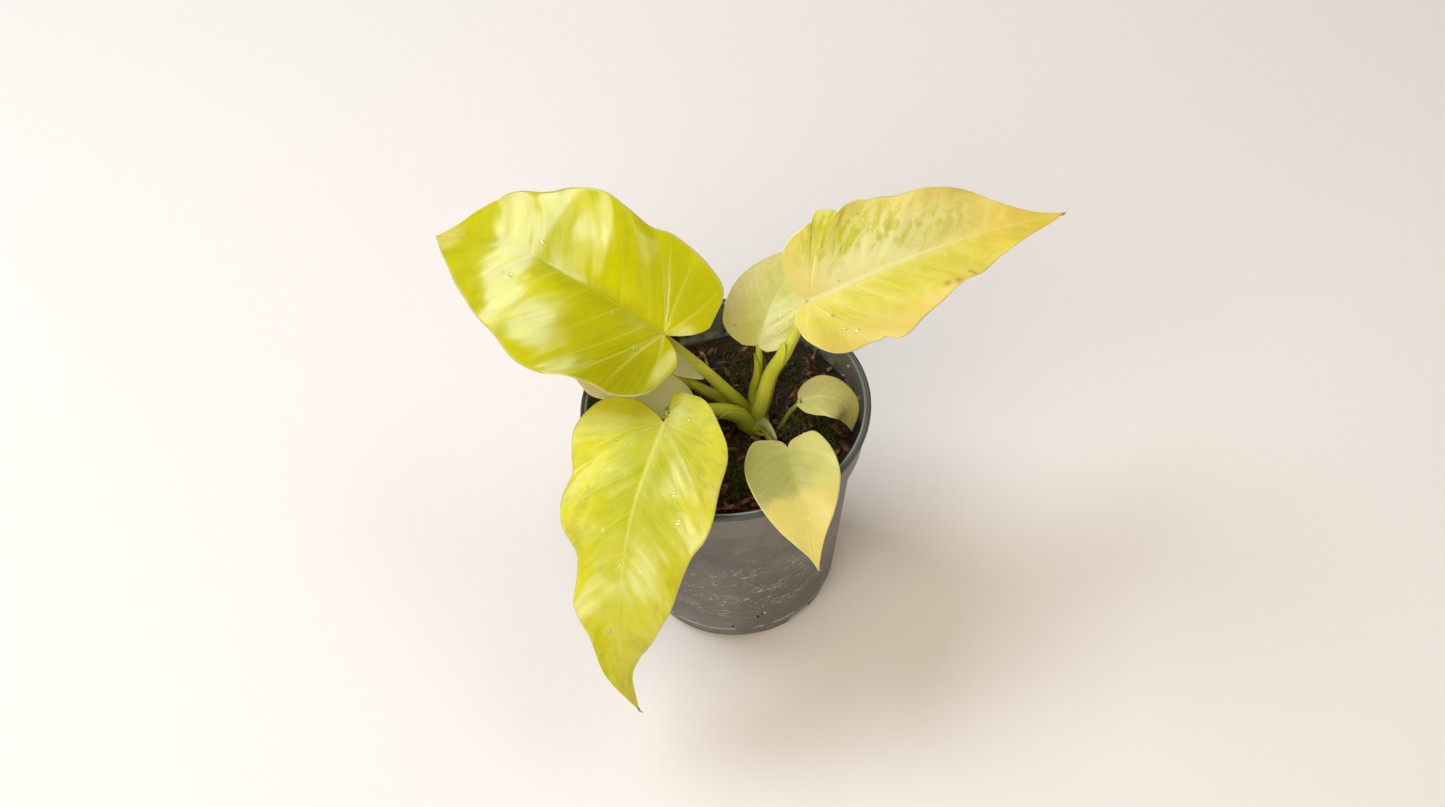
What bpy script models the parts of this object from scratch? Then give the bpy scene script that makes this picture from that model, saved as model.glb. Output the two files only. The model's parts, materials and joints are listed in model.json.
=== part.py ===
"""A young golden heart-leaved philodendron in its thin grey plastic nursery pot.

Sizes are in millimetres and become metres as each mesh is finished. The pot stands on its
underside at the origin, +Z is up, and the front of the plant looks along -Y.
"""
import math

import bmesh
import bpy
from mathutils import Vector, noise

MM = 0.001

# Gap that touching pieces keep
GAP = 0.3
# Points closer than this become one
MERGE = 0.02
# Share of a curve over which its direction is taken
CURVE_STEP = 0.01

# Pot: a 12 cm nursery pot with a collar, a rolled lip and slots in its lower corner
POT_HEIGHT = 108.6
RIM_RADIUS = 60.0
LIP_WIDTH = 2.9
LIP_HEIGHT = 2.6
LIP_ROUND = 0.7
LIP_SLOPE = 0.4
WALL = 1.4
FLOOR = 1.8
COLLAR_FOOT_Z = 90.6
COLLAR_TOP_RADIUS = 58.5
COLLAR_FOOT_RADIUS = 56.8
COLLAR_STEP_RISE = 0.8
LEDGE_INNER_Z = 91.8
LEDGE_OUTER_Z = 92.4
BODY_TOP_RADIUS = 53.6
BODY_FOOT_RADIUS = 43.2
FOOT_BAND = 7.5
FOOT_RADIUS = 41.4
FOOT_ROUND = 1.0
POT_STEPS = 56
SLOT_AZIMUTHS = (-52.0, 68.0, 188.0)
SLOT_WIDTH = 14.5
SLOT_TOP_SHARE = 0.8
SLOT_HEIGHT = 6.0
SLOT_DEPTH = 9.0

# Soil: a plug with a bumpy top, low at one side so that the pot's inner ledge shows
SOIL_EDGE_Z = 93.9
SOIL_MOUND = 2.2
SOIL_BUMP = 1.3
SOIL_GRAIN = 11.0
SOIL_NECK_INSET = 0.3
SHELF_BARE_Z = 89.2
SHELF_INNER_Z = 92.5
SHELF_OUTER_RISE = 0.5
SHELF_DEPTH = 0.9
SHELF_LIFTED = 0.4
SHELF_SPREADS = 0.6
LEDGE_AZIMUTH = 118.0
LEDGE_SPREAD = 30.0
LEDGE_BLEND = 36.0
SOIL_STEPS = 40
SOIL_RINGS = (0.94, 0.82, 0.68, 0.54, 0.4, 0.26, 0.12)
LUMP_AT = (29.0, -6.0)
LUMP_RADIUS = 7.5
LUMP_HEIGHT = 5.0

# Crown: the short stem that every petiole but one grows from
CROWN_AT = (11.5, -1.0)
CROWN_RADIUS = 6.4
CROWN_FOOT_RADIUS = 4.5
CROWN_HEAD_RADIUS = 5.1
CROWN_FOOT_Z = 70.0
CROWN_WAIST_Z = 88.0
CROWN_SHOULDER_Z = 96.5
CROWN_HEAD_Z = 100.0
CROWN_TOP_Z = 101.5
CROWN_STEPS = 16
CROWN_DISH_RADIUS = 8.8
CROWN_DISH_Z = 94.0
HOLE_GAP = 0.4

# Petioles: round stems that end just under their blades
TUBE_SIDES = 10
TUBE_RINGS = 12
TAPER_POWER = 0.8
FLATTEN_FROM = 0.85
PETIOLE_INSET = 2.2
BLADE_GAP = 0.35

# Blades: side veins start along the midrib, bow forward and end on the margin
BLADE_THICKNESS = 0.7
RIB_THICKNESS = 1.4
LOBE_SHARE = 0.36
VEIN_START_POWER = 1.2
VEIN_BOW_ALONG = 0.42
LOBE_BOW_ALONG = 0.38
VEIN_BOW_OUT = 0.6
LOBE_BOW_OUT = 0.35
LIFT_POWER = 2.6
COLUMN_POWER = 1.25

# Colours
LIME = (0.56, 0.60, 0.02)
GOLD = (0.66, 0.62, 0.06)
CREAM = (0.76, 0.65, 0.16)
PALE_GREEN = (0.56, 0.54, 0.16)
OLIVE = (0.42, 0.40, 0.12)
STEM_GREEN = (0.34, 0.40, 0.05)
POT_GREY = (0.115, 0.112, 0.105)
SOIL_BROWN = (0.035, 0.022, 0.012)

# Each leaf: its midrib from the petiole to the tip; each half's margin, from the back of its
# lobe to the tip, as (along, out, lift); the roll of the blade at both ends; how far each half
# folds up and cups down; how far each side of the notch between the lobes bows; and its petiole.
LEAVES = {
    "leaf_left": dict(
        midrib=((-22.1, 0.8, 152.2), (-55.3, 24.5, 162), (-86, 54, 157.5), (-117.7, 83.7, 135.7)),
        left=((-12.5, 9.5, 0), (-9, 24, -1), (2, 32, -2), (13, 34, 0), (23, 37, 1.5),
              (34.6, 40.3, -1.5), (45.8, 40.7, -1), (57.6, 37.2, 1.5), (70.5, 34.4, 2),
              (85, 29.3, -1.5), (100.4, 21.8, -2.5), (112.2, 12.5, 0.5), (121, 6, 0),
              (127.7, 0, 0)),
        right=((-14, 12, 0), (-10.5, 27, 1), (1, 33.5, 1.5), (12, 36.7, 0), (22, 37.8, -1.5),
               (31.5, 35.9, -2.5), (43, 36.5, 0), (56, 36.6, 2.5), (69.8, 32.8, 0),
               (80.9, 27.4, -3), (91, 22.6, 1.5), (99.1, 15.9, 3), (114.2, 6.9, 0.5),
               (127.7, 0, 0)),
        roll=(-6, -17), fold=(1, 15), cup=(0.58, 0.18), notch=(1, 1), rows=24, columns=5,
        petiole=((9, 1, 97), (6.3, 3.7, 103), (-1.3, 3.7, 116), (-9.5, 2.3, 131)),
        radii=(3.2, 1.6), colour=LIME),
    "leaf_front": dict(
        midrib=((-24.8, -25.5, 129.5), (-38.5, -53.5, 114.7), (-46.3, -74.7, 93.6),
                (-50, -89.5, 64.5), (-44.6, -96.5, 32.8)),
        left=((-13.5, 2, 0), (-13, 13, 0), (-4, 23, 1), (5, 29.4, 0), (16, 30.7, -1),
              (28, 32.7, 1.5), (38.1, 31.3, 1), (46.9, 26.8, -1.5), (58, 24, -1),
              (68.1, 22, 1.5), (78.3, 17.2, 1), (87.8, 12.9, -1), (97.2, 7.4, 0),
              (106, 2.6, 0), (121.6, 0, 0)),
        right=((-5.8, 15, 0), (-3.4, 26.2, 0), (3, 32.7, 0.5), (11, 35.6, 1), (19, 33.2, 0),
               (26, 30.5, -2.5), (35, 30.8, 0), (43.9, 27.6, 2.5), (54.4, 20.6, -2),
               (64, 19.3, -2), (74, 18.4, 1.5), (84.6, 10.9, 2), (98.4, 7.4, 0),
               (110.4, 3.8, 0), (121.6, 0, 0)),
        roll=(-2, 6), fold=(5, 1), cup=(0.46, 0.43), notch=(-5, 4), rows=24, columns=5,
        petiole=((9, -3, 98), (4.5, -4, 106), (-4.8, -9.5, 116), (-14.5, -17.5, 123.5)),
        radii=(4.2, 1.8), colour=GOLD),
    "leaf_right": dict(
        midrib=((36, 8.6, 156.3), (72.8, 20.5, 162.2), (109.5, 34.5, 160.8), (144.9, 50, 153.1)),
        left=((-4.3, 8, 0), (-4, 18, 0), (1.7, 25.4, -1), (11, 27.7, 1.5), (18, 31.5, -1),
              (25.7, 28.2, 2), (35.3, 29.6, -1.5), (48.3, 26.4, -1.5), (58.6, 24.6, 1.5),
              (69.6, 22.3, 1), (80, 19, -1), (89.4, 10.7, 0.5), (103, 4, 0), (116.6, 0, 0)),
        right=((-9.2, 7, 0), (-8, 16, 0), (-2, 25, 1), (6, 28.2, -1.5), (15, 29.4, 0),
               (27, 33.3, 1), (36, 29, -1.5), (46, 26, 0), (56, 22.4, 1.5), (66, 20, -1),
               (76, 15.4, -1), (88, 12.1, 1), (103, 6, 0), (116.6, 0, 0)),
        roll=(23, -3), fold=(25, 16), cup=(0.18, 0.32), notch=(1, 0), rows=24, columns=5,
        petiole=((11.5, -1, 96), (15.5, 0.8, 106.8), (19.9, 4, 120.2), (26.1, 3.5, 133.3)),
        radii=(4, 2.1), colour=CREAM),
    "leaf_back": dict(
        midrib=((15, 11, 131), (22, 26, 138), (32, 41, 142), (44.7, 52.5, 143)),
        left=((-2, 6, 0), (0.5, 12, 0), (5, 16.4, 0), (12, 17.9, 1), (20, 18.3, 0),
              (28.2, 16.3, -1), (35.4, 11.2, 0), (42, 6.3, 0.5), (48, 2.2, 0), (52, 0, 0)),
        right=((-2.5, 5, 0), (0, 10, 0), (5, 13, 0), (12, 15.5, -1), (20, 16, 0),
               (28, 14.5, 1), (35.5, 10.5, 0), (42, 6, -0.5), (48, 2, 0), (52, 0, 0)),
        roll=(0, 0), fold=(8, 8), cup=(0.3, 0.3), notch=(0, 0), rows=14, columns=4,
        petiole=((11.3, 2.6, 97.5), (12.4, 9.5, 104), (14.5, 10.6, 113), (15.3, 10.8, 122)),
        radii=(2.3, 1.25), colour=PALE_GREEN),
    "leaf_side": dict(
        midrib=((30, -4.9, 112.5), (40, -6.5, 115.5), (48.5, -9, 112), (51, -13, 100)),
        left=((-0.6, 3.8, 0), (1, 7, 0), (4, 9.3, 0), (8, 10.2, 0.5), (12, 10.6, 0),
              (16, 10.4, -0.5), (21, 7.7, 0), (25.5, 4.7, 0), (29, 2.4, 0), (32, 0, 0)),
        right=((-0.5, 2.7, 0), (1.5, 5.5, 0), (4.2, 8.4, 0), (8, 10.5, 0), (12, 10.5, -0.5),
               (16, 11.2, 0.5), (21, 8.8, 0), (25.5, 5, 0), (29, 1.8, 0), (32, 0, 0)),
        roll=(0, 0), fold=(8, 8), cup=(0.3, 0.3), notch=(-1, -1), rows=14, columns=4,
        petiole=((20.5, -5.4, 84), (20.8, -5.4, 94), (23.4, -5, 99.5), (26.3, -4.4, 105)),
        radii=(1.2, 0.95), colour=OLIVE),
    "leaf_heart": dict(
        midrib=((23.6, -29.8, 112.1), (25.6, -48.2, 111.4), (28.2, -65.5, 107.4),
                (31.2, -82.4, 99.7)),
        left=((-5, 6, 0), (-5.2, 12, 0), (2, 16, 0.5), (10, 17.9, 0.5), (18, 18, -0.5),
              (26.3, 15.5, -0.5), (34.2, 11.5, 0.5), (42, 6, 0), (49, 2.2, 0), (54.6, 0, 0)),
        right=((-5, 5, 0), (-4.8, 13, 0), (2, 17.6, -0.5), (11, 19.3, 0.5), (20, 18, 0.5),
               (29, 15, -0.5), (37, 11, -0.5), (43, 6.7, 0.5), (49, 2.2, 0), (54.6, 0, 0)),
        roll=(1, 3), fold=(12, 10), cup=(0.3, 0.32), notch=(-1, -1), rows=14, columns=4,
        petiole=((13.5, -2, 98.5), (17, -5, 99), (20.5, -13, 102), (22.8, -22, 107)),
        radii=(2.2, 1.2), colour=OLIVE),
    "leaf_low": dict(
        midrib=((-23, 12, 118), (-40, 22, 119), (-58, 32, 115), (-75, 43, 106)),
        left=((-17, 8, 0), (-13.5, 18, 0), (-3, 22.6, 0), (9.5, 22.2, 0.5), (20.2, 22.8, 0),
              (29, 21.5, -0.5), (38, 15.7, 0), (47, 9.8, 0), (56, 4, 0), (63, 0, 0)),
        right=((-15, 4.5, 0), (-10, 12, 0), (-1, 16.5, 0), (10, 18.5, 0), (21, 18.5, 0.5),
               (32, 16.5, 0), (42, 12.5, -0.5), (50, 7.5, 0), (57, 3, 0), (63, 0, 0)),
        roll=(0, 0), fold=(-8, -17), cup=(0.3, 0.3), notch=(0, 0), rows=14, columns=4,
        petiole=((8.5, 1.5, 98), (-0.3, 6.5, 103), (-7.5, 7.7, 108), (-16.5, 9.5, 114)),
        radii=(2.8, 1.4), colour=OLIVE),
}


def smooth_curve(points, t):
    """A point on the smooth curve through evenly timed points, where t runs from 0 to 1."""
    spans = len(points) - 1
    k = min(int(t * spans), spans - 1)
    f = t * spans - k
    before = 2 * points[0] - points[1] if k == 0 else points[k - 1]
    after = 2 * points[-1] - points[-2] if k == spans - 1 else points[k + 2]
    a, b = points[k], points[k + 1]
    return 0.5 * (2 * a + (b - before) * f + (2 * before - 5 * a + 4 * b - after) * f * f
                  + (3 * a - before - 3 * b + after) * f * f * f)


class Blade:
    """The curved sheet of one leaf."""

    def __init__(self, leaf):
        self.midrib = [Vector(p) for p in leaf["midrib"]]
        self.halves = [[Vector(p) for p in leaf[side]] for side in ("left", "right")]
        self.length = self.halves[0][-1].x
        self.roll = [math.radians(r) for r in leaf["roll"]]
        self.fold = [math.radians(f) for f in leaf["fold"]]
        self.cup = [math.radians(c) for c in leaf["cup"]]
        self.notch = leaf["notch"]

    def rib_frame(self, along):
        """Point, direction, sideways and upward axes on the midrib at a length along it."""
        t = along / self.length
        inside = min(max(t, 0.0), 1.0)
        low, high = max(inside - CURVE_STEP, 0.0), min(inside + CURVE_STEP, 1.0)
        direction = (smooth_curve(self.midrib, high) - smooth_curve(self.midrib, low)).normalized()
        point = smooth_curve(self.midrib, inside) + direction * (t - inside) * self.length
        level = Vector((0, 0, 1)).cross(direction).normalized()
        up = direction.cross(level)
        roll = self.roll[0] + (self.roll[1] - self.roll[0]) * inside
        sideways = level * math.cos(roll) + up * math.sin(roll)
        return point, direction, sideways, direction.cross(sideways)

    def place(self, along, out, lift, half):
        """A point of the sheet from its place on the flat leaf."""
        point, direction, sideways, up = self.rib_frame(along)
        fold, cup = self.fold[half], self.cup[half]
        bend = fold - cup * out
        reach = (math.sin(fold) - math.sin(bend)) / cup
        rise = (math.cos(bend) - math.cos(fold)) / cup
        sign = 1 if half == 0 else -1
        return point + sideways * sign * reach + up * (rise + lift)

    def at(self, across, down):
        """A point of the sheet: across is -1 to 1 between margins, down is 0 to 1 to the tip."""
        half = 0 if across >= 0 else 1
        share = abs(across)
        margin = smooth_curve(self.halves[half], down)
        fan = max(down - LOBE_SHARE, 0.0) / (1 - LOBE_SHARE)
        start = self.length * fan ** VEIN_START_POWER
        lobe = max(1 - down / LOBE_SHARE, 0.0)
        bow_along = start + (margin.x - start) * (VEIN_BOW_ALONG + LOBE_BOW_ALONG * lobe)
        bow_out = margin.y * (VEIN_BOW_OUT - LOBE_BOW_OUT * lobe) + self.notch[half] * lobe
        along = (1 - share) ** 2 * start + 2 * share * (1 - share) * bow_along + share ** 2 * margin.x
        out = 2 * share * (1 - share) * bow_out + share ** 2 * margin.y
        return self.place(along, max(out, 0.0), margin.z * share ** LIFT_POWER, half)


def paint(obj, colour, roughness):
    """Gives an object its own plain material."""
    material = bpy.data.materials.new(obj.name)
    material.use_nodes = True
    shader = material.node_tree.nodes["Principled BSDF"]
    shader.inputs["Base Color"].default_value = (*colour, 1)
    shader.inputs["Roughness"].default_value = roughness
    obj.data.materials.append(material)


def finish(name, bm, colour, roughness=0.5):
    """Turns a mesh in millimetres into a named object in metres."""
    bmesh.ops.scale(bm, vec=(MM, MM, MM), verts=bm.verts)
    mesh = bpy.data.meshes.new(name)
    bm.to_mesh(mesh)
    bm.free()
    mesh.shade_smooth()
    mesh.set_sharp_from_angle(angle=math.radians(40))
    obj = bpy.data.objects.new(name, mesh)
    bpy.context.collection.objects.link(obj)
    paint(obj, colour, roughness)
    return obj


def join(obj, others, operation):
    """Applies one Boolean of a list of objects to an object, and removes them."""
    group = bpy.data.collections.new(obj.name + "_tools")
    bpy.context.scene.collection.children.link(group)
    for other in others:
        bpy.context.collection.objects.unlink(other)
        group.objects.link(other)
    cut = obj.modifiers.new("join", "BOOLEAN")
    cut.operation = operation
    cut.operand_type = "COLLECTION"
    cut.collection = group
    cut.solver = "EXACT"
    view = bpy.context.evaluated_depsgraph_get()
    mesh = bpy.data.meshes.new_from_object(obj.evaluated_get(view))
    obj.modifiers.clear()
    obj.data = mesh
    for other in others:
        bpy.data.objects.remove(other)
    bpy.data.collections.remove(group)


def turned(profile, steps):
    """A closed solid turned from (radius, height) points that start and end on the axis."""
    bm = bmesh.new()
    points = [bm.verts.new((r, 0, z)) for r, z in profile]
    edges = [bm.edges.new(pair) for pair in zip(points, points[1:])]
    bmesh.ops.spin(bm, geom=points + edges, cent=(0, 0, 0), axis=(0, 0, 1), angle=2 * math.pi,
                   steps=steps, use_merge=True)
    bmesh.ops.remove_doubles(bm, verts=bm.verts, dist=MERGE)
    bmesh.ops.recalc_face_normals(bm, faces=bm.faces)
    return bm


def pot_profile():
    """The pot's section, from the middle of its underside round its wall to its inner floor."""
    lip_foot = POT_HEIGHT - LIP_HEIGHT
    inner_lip = RIM_RADIUS - LIP_WIDTH
    return [
        (0, 0), (FOOT_RADIUS - FOOT_ROUND, 0), (FOOT_RADIUS, FOOT_ROUND),
        (BODY_FOOT_RADIUS, FOOT_BAND), (BODY_TOP_RADIUS, COLLAR_FOOT_Z),
        (COLLAR_FOOT_RADIUS, COLLAR_FOOT_Z + COLLAR_STEP_RISE), (COLLAR_TOP_RADIUS, lip_foot),
        (RIM_RADIUS, lip_foot + LIP_SLOPE), (RIM_RADIUS, POT_HEIGHT - LIP_ROUND),
        (RIM_RADIUS - LIP_ROUND, POT_HEIGHT), (inner_lip + LIP_ROUND, POT_HEIGHT),
        (inner_lip, POT_HEIGHT - LIP_ROUND), (COLLAR_FOOT_RADIUS - WALL, LEDGE_OUTER_Z),
        (BODY_TOP_RADIUS - WALL, LEDGE_INNER_Z), (BODY_FOOT_RADIUS - WALL, FOOT_BAND),
        (FOOT_RADIUS - WALL, FLOOR), (0, FLOOR),
    ]


def slot_cutter(azimuth):
    """A block that opens a drainage slot in the pot's lower corner."""
    bm = bmesh.new()
    bmesh.ops.create_cube(bm, size=1)
    bmesh.ops.scale(bm, vec=(SLOT_DEPTH, SLOT_WIDTH, 2 * SLOT_HEIGHT), verts=bm.verts)
    for v in bm.verts:
        if v.co.z > 0:
            v.co.y *= SLOT_TOP_SHARE
    bmesh.ops.translate(bm, vec=(FOOT_RADIUS, 0, 0), verts=bm.verts)
    obj = finish("slot_cutter", bm, POT_GREY)
    obj.rotation_euler.z = math.radians(azimuth)
    return as_cutter(obj)


def make_pot():
    pot = finish("pot", turned(pot_profile(), POT_STEPS), POT_GREY, 0.45)
    join(pot, [slot_cutter(azimuth) for azimuth in SLOT_AZIMUTHS], "DIFFERENCE")


def ledge_cover(azimuth):
    """How far the soil covers the pot's inner ledge: 1 over most of it, 0 where it shows."""
    away = abs((azimuth - math.radians(LEDGE_AZIMUTH) + math.pi) % (2 * math.pi) - math.pi)
    share = min(max((math.degrees(away) - LEDGE_SPREAD / 2) / LEDGE_BLEND, 0.0), 1.0)
    return share * share * (3 - 2 * share)


def soil_height(x, y, edge_share):
    """The soil's height at a place, where edge_share is 0 in the middle and 1 at the wall."""
    bump = SOIL_BUMP * noise.noise(Vector((x, y, 0)) / SOIL_GRAIN)
    away = math.hypot(x - LUMP_AT[0], y - LUMP_AT[1]) / LUMP_RADIUS
    lump = LUMP_HEIGHT * math.exp(-away ** 4)
    return SOIL_EDGE_Z + SOIL_MOUND * (1 - edge_share ** 2) + bump * (1 - edge_share ** 6) + lump


def soil_sides():
    """The rings of the soil's underside, wall and shelf, each a list of (radius, height).

    Where the ledge shows, the soil stays within the body's wall and ends below the ledge.
    Elsewhere it first rises past the ledge's inner corner and then spreads out over it.
    """
    neck = BODY_TOP_RADIUS - WALL - GAP - SOIL_NECK_INSET
    brim = COLLAR_FOOT_RADIUS - WALL - GAP
    foot = (FOOT_RADIUS - WALL - GAP, FLOOR + GAP)
    band = (BODY_FOOT_RADIUS - WALL - GAP, FOOT_BAND)
    rings = [[], [], [], [], []]
    for k in range(SOIL_STEPS):
        cover = ledge_cover(2 * math.pi * k / SOIL_STEPS)
        lift = min(cover / SHELF_LIFTED, 1)
        spread = max(cover - SHELF_SPREADS, 0) / (1 - SHELF_SPREADS)
        shelf_z = SHELF_BARE_Z + (SHELF_INNER_Z - SHELF_BARE_Z) * lift
        under = (neck + (brim - neck) * spread, shelf_z + SHELF_OUTER_RISE)
        top = (under[0], under[1] + SHELF_DEPTH)
        for ring, point in zip(rings, (foot, band, (neck, shelf_z), under, top)):
            ring.append(point)
    return rings


def make_soil():
    """The soil plug: rings from its underside up the wall and in over its top."""
    bm = bmesh.new()
    rings = soil_sides()
    rows = []
    for ring in rings:
        row = []
        for k, (r, z) in enumerate(ring):
            a = 2 * math.pi * k / SOIL_STEPS
            row.append(bm.verts.new((r * math.cos(a), r * math.sin(a), z)))
        rows.append(row)
    for share in SOIL_RINGS:
        row = []
        for k, (r, z) in enumerate(rings[-1]):
            a = 2 * math.pi * k / SOIL_STEPS
            x, y = share * r * math.cos(a), share * r * math.sin(a)
            dip = (SOIL_EDGE_Z - z) * share ** 3
            row.append(bm.verts.new((x, y, soil_height(x, y, share) - dip)))
        rows.append(row)
    for below, above in zip(rows, rows[1:]):
        for k in range(SOIL_STEPS):
            n = (k + 1) % SOIL_STEPS
            bm.faces.new((below[k], below[n], above[n], above[k]))
    for row, z in ((rows[0], FLOOR + GAP), (rows[-1], soil_height(0, 0, 0))):
        middle = bm.verts.new((0, 0, z))
        for k in range(SOIL_STEPS):
            bm.faces.new((row[k], row[(k + 1) % SOIL_STEPS], middle))
    bmesh.ops.triangulate(bm, faces=bm.faces)
    bmesh.ops.recalc_face_normals(bm, faces=bm.faces)
    soil = finish("soil", bm, SOIL_BROWN, 0.95)
    join(soil, [crown_hole(), side_hole()], "DIFFERENCE")


def crown_profile():
    """The crown's section: a tapered peg in the soil that narrows to a rounded top."""
    return [(0, CROWN_FOOT_Z), (CROWN_FOOT_RADIUS, CROWN_FOOT_Z), (CROWN_RADIUS, CROWN_WAIST_Z),
            (CROWN_RADIUS, CROWN_SHOULDER_Z), (CROWN_HEAD_RADIUS, CROWN_HEAD_Z), (0, CROWN_TOP_Z)]


def crown_hole_profile():
    """The hole that the crown stands in, with a shallow dish round its mouth."""
    foot_z = CROWN_FOOT_Z - HOLE_GAP
    return [(0, foot_z), (CROWN_FOOT_RADIUS + HOLE_GAP, foot_z),
            (CROWN_RADIUS + HOLE_GAP, CROWN_WAIST_Z), (CROWN_RADIUS + HOLE_GAP, CROWN_DISH_Z),
            (CROWN_DISH_RADIUS, CROWN_SHOULDER_Z), (CROWN_DISH_RADIUS, POT_HEIGHT),
            (0, POT_HEIGHT)]


def as_cutter(obj):
    """Marks an object as a cutter."""
    obj.hide_render = True
    obj.display_type = "WIRE"
    return obj


def crown_hole():
    """The cutter for the crown's hole."""
    bm = turned(crown_hole_profile(), CROWN_STEPS)
    bmesh.ops.translate(bm, vec=(*CROWN_AT, 0), verts=bm.verts)
    return as_cutter(finish("crown_hole", bm, SOIL_BROWN))


def side_hole():
    """The cutter for the hole that follows the smallest leaf's petiole up through the soil."""
    path = [Vector(p) for p in LEAVES["leaf_side"]["petiole"]]
    path[0].z -= HOLE_GAP
    radius = LEAVES["leaf_side"]["radii"][0] + HOLE_GAP
    upward = path[-1] - path[-2]
    return as_cutter(make_tube("side_hole", path, (radius, radius), upward, SOIL_BROWN))


def make_tube(name, path, radii, end_normal, colour):
    """A tapered round stem along a smooth path, whose end lies flat under its blade."""
    bm = bmesh.new()
    rows = []
    side = Vector((0, 1, 0))
    for k in range(TUBE_RINGS + 1):
        t = k / TUBE_RINGS
        here = smooth_curve(path, t)
        ahead = smooth_curve(path, min(t + CURVE_STEP, 1))
        behind = smooth_curve(path, max(t - CURVE_STEP, 0))
        direction = (ahead - behind).normalized()
        turn = max((t - FLATTEN_FROM) / (1 - FLATTEN_FROM), 0)
        direction = direction.lerp(end_normal, turn).normalized()
        side = (side - direction * side.dot(direction)).normalized()
        other = direction.cross(side)
        radius = radii[0] + (radii[1] - radii[0]) * t ** TAPER_POWER
        row = []
        for s in range(TUBE_SIDES):
            a = 2 * math.pi * s / TUBE_SIDES
            row.append(bm.verts.new(here + (side * math.cos(a) + other * math.sin(a)) * radius))
        rows.append(row)
    for below, above in zip(rows, rows[1:]):
        for s in range(TUBE_SIDES):
            n = (s + 1) % TUBE_SIDES
            bm.faces.new((below[s], below[n], above[n], above[s]))
    bm.faces.new(rows[0][::-1])
    bm.faces.new(rows[-1])
    bmesh.ops.triangulate(bm, faces=bm.faces)
    bmesh.ops.recalc_face_normals(bm, faces=bm.faces)
    return finish(name, bm, colour)


def make_petiole(name, leaf):
    """A leaf's petiole, which ends just under the blade's midrib."""
    blade = Blade(leaf)
    point, direction, sideways, up = blade.rib_frame(PETIOLE_INSET)
    droop = leaf["radii"][1] * math.sin(max(-min(blade.fold), 0))
    end = point - up * (RIB_THICKNESS + BLADE_GAP + droop)
    path = [Vector(p) for p in leaf["petiole"]] + [end]
    return make_tube(name, path, leaf["radii"], up, STEM_GREEN)


def make_stems():
    """The crown with its petioles as one piece, and the smallest leaf's own petiole."""
    bm = turned(crown_profile(), CROWN_STEPS)
    bmesh.ops.translate(bm, vec=(*CROWN_AT, 0), verts=bm.verts)
    stem = finish("stem", bm, STEM_GREEN, 0.4)
    petioles = [make_petiole("petiole_" + name, leaf)
                for name, leaf in LEAVES.items() if name != "leaf_side"]
    join(stem, petioles, "UNION")
    make_petiole("side_petiole", LEAVES["leaf_side"])


def make_blade(name, leaf):
    """One blade: a grid from margin to margin, laid on its curved sheet and thickened."""
    blade = Blade(leaf)
    rows, columns = leaf["rows"], leaf["columns"]
    bm = bmesh.new()
    bmesh.ops.create_grid(bm, x_segments=2 * columns, y_segments=rows, size=1)
    weight = bm.verts.layers.deform.verify()
    half_column = 0.5 / columns
    for v in bm.verts:
        across = math.copysign(abs(v.co.x) ** COLUMN_POWER, -v.co.x)
        down = (v.co.y + 1) / 2
        v[weight][0] = 1 - down if abs(v.co.x) < half_column else 0
        v.co = blade.at(across, down)
    bmesh.ops.triangulate(bm, faces=bm.faces, quad_method="FIXED")
    bmesh.ops.remove_doubles(bm, verts=bm.verts, dist=MERGE)
    bmesh.ops.dissolve_degenerate(bm, edges=bm.edges, dist=MERGE)
    obj = finish(name, bm, leaf["colour"], 0.35)
    obj.vertex_groups.new(name="rib")
    solidify = obj.modifiers.new("thickness", "SOLIDIFY")
    solidify.thickness = RIB_THICKNESS * MM
    solidify.offset = -1
    solidify.vertex_group = "rib"
    solidify.thickness_vertex_group = BLADE_THICKNESS / RIB_THICKNESS


def main():
    for obj in list(bpy.data.objects):
        bpy.data.objects.remove(obj)
    make_pot()
    make_soil()
    make_stems()
    for name, leaf in LEAVES.items():
        make_blade(name, leaf)


main()
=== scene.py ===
"""A young golden philodendron in its thin grey nursery pot, dressed and lit on a pale floor.

Meshes are shaped in millimetres and become metres as they are finished. The pot stands on its
underside at the origin, +Z is up, and the front of the plant looks along -Y.
"""
import json
import math
import random

import bmesh
import bpy
from mathutils import Matrix, Vector, noise
from mathutils.bvhtree import BVHTree

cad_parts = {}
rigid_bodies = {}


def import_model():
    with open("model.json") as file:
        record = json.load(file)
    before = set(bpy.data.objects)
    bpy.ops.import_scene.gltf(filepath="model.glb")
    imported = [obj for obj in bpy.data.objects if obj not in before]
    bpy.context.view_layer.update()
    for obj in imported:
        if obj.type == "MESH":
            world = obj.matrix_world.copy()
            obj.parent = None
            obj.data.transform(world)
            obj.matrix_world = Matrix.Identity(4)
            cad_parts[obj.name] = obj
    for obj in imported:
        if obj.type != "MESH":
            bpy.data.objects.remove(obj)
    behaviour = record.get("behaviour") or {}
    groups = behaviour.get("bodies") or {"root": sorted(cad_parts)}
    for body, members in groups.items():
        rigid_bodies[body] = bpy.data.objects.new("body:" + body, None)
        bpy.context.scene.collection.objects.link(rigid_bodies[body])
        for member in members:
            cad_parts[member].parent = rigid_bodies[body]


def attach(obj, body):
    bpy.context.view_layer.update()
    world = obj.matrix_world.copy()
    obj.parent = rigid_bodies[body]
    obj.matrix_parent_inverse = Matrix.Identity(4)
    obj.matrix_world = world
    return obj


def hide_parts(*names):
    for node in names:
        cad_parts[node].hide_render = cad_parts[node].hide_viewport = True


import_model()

# Seed of the random draws and of the vector noise, so that every run gives the same scene
SEED = 7
MM = 0.001
SEAM = 0.004
CURVE_STEP = 0.01
# Millimetres of a surface for one unit of a UV map
UV_MM = 10

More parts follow.
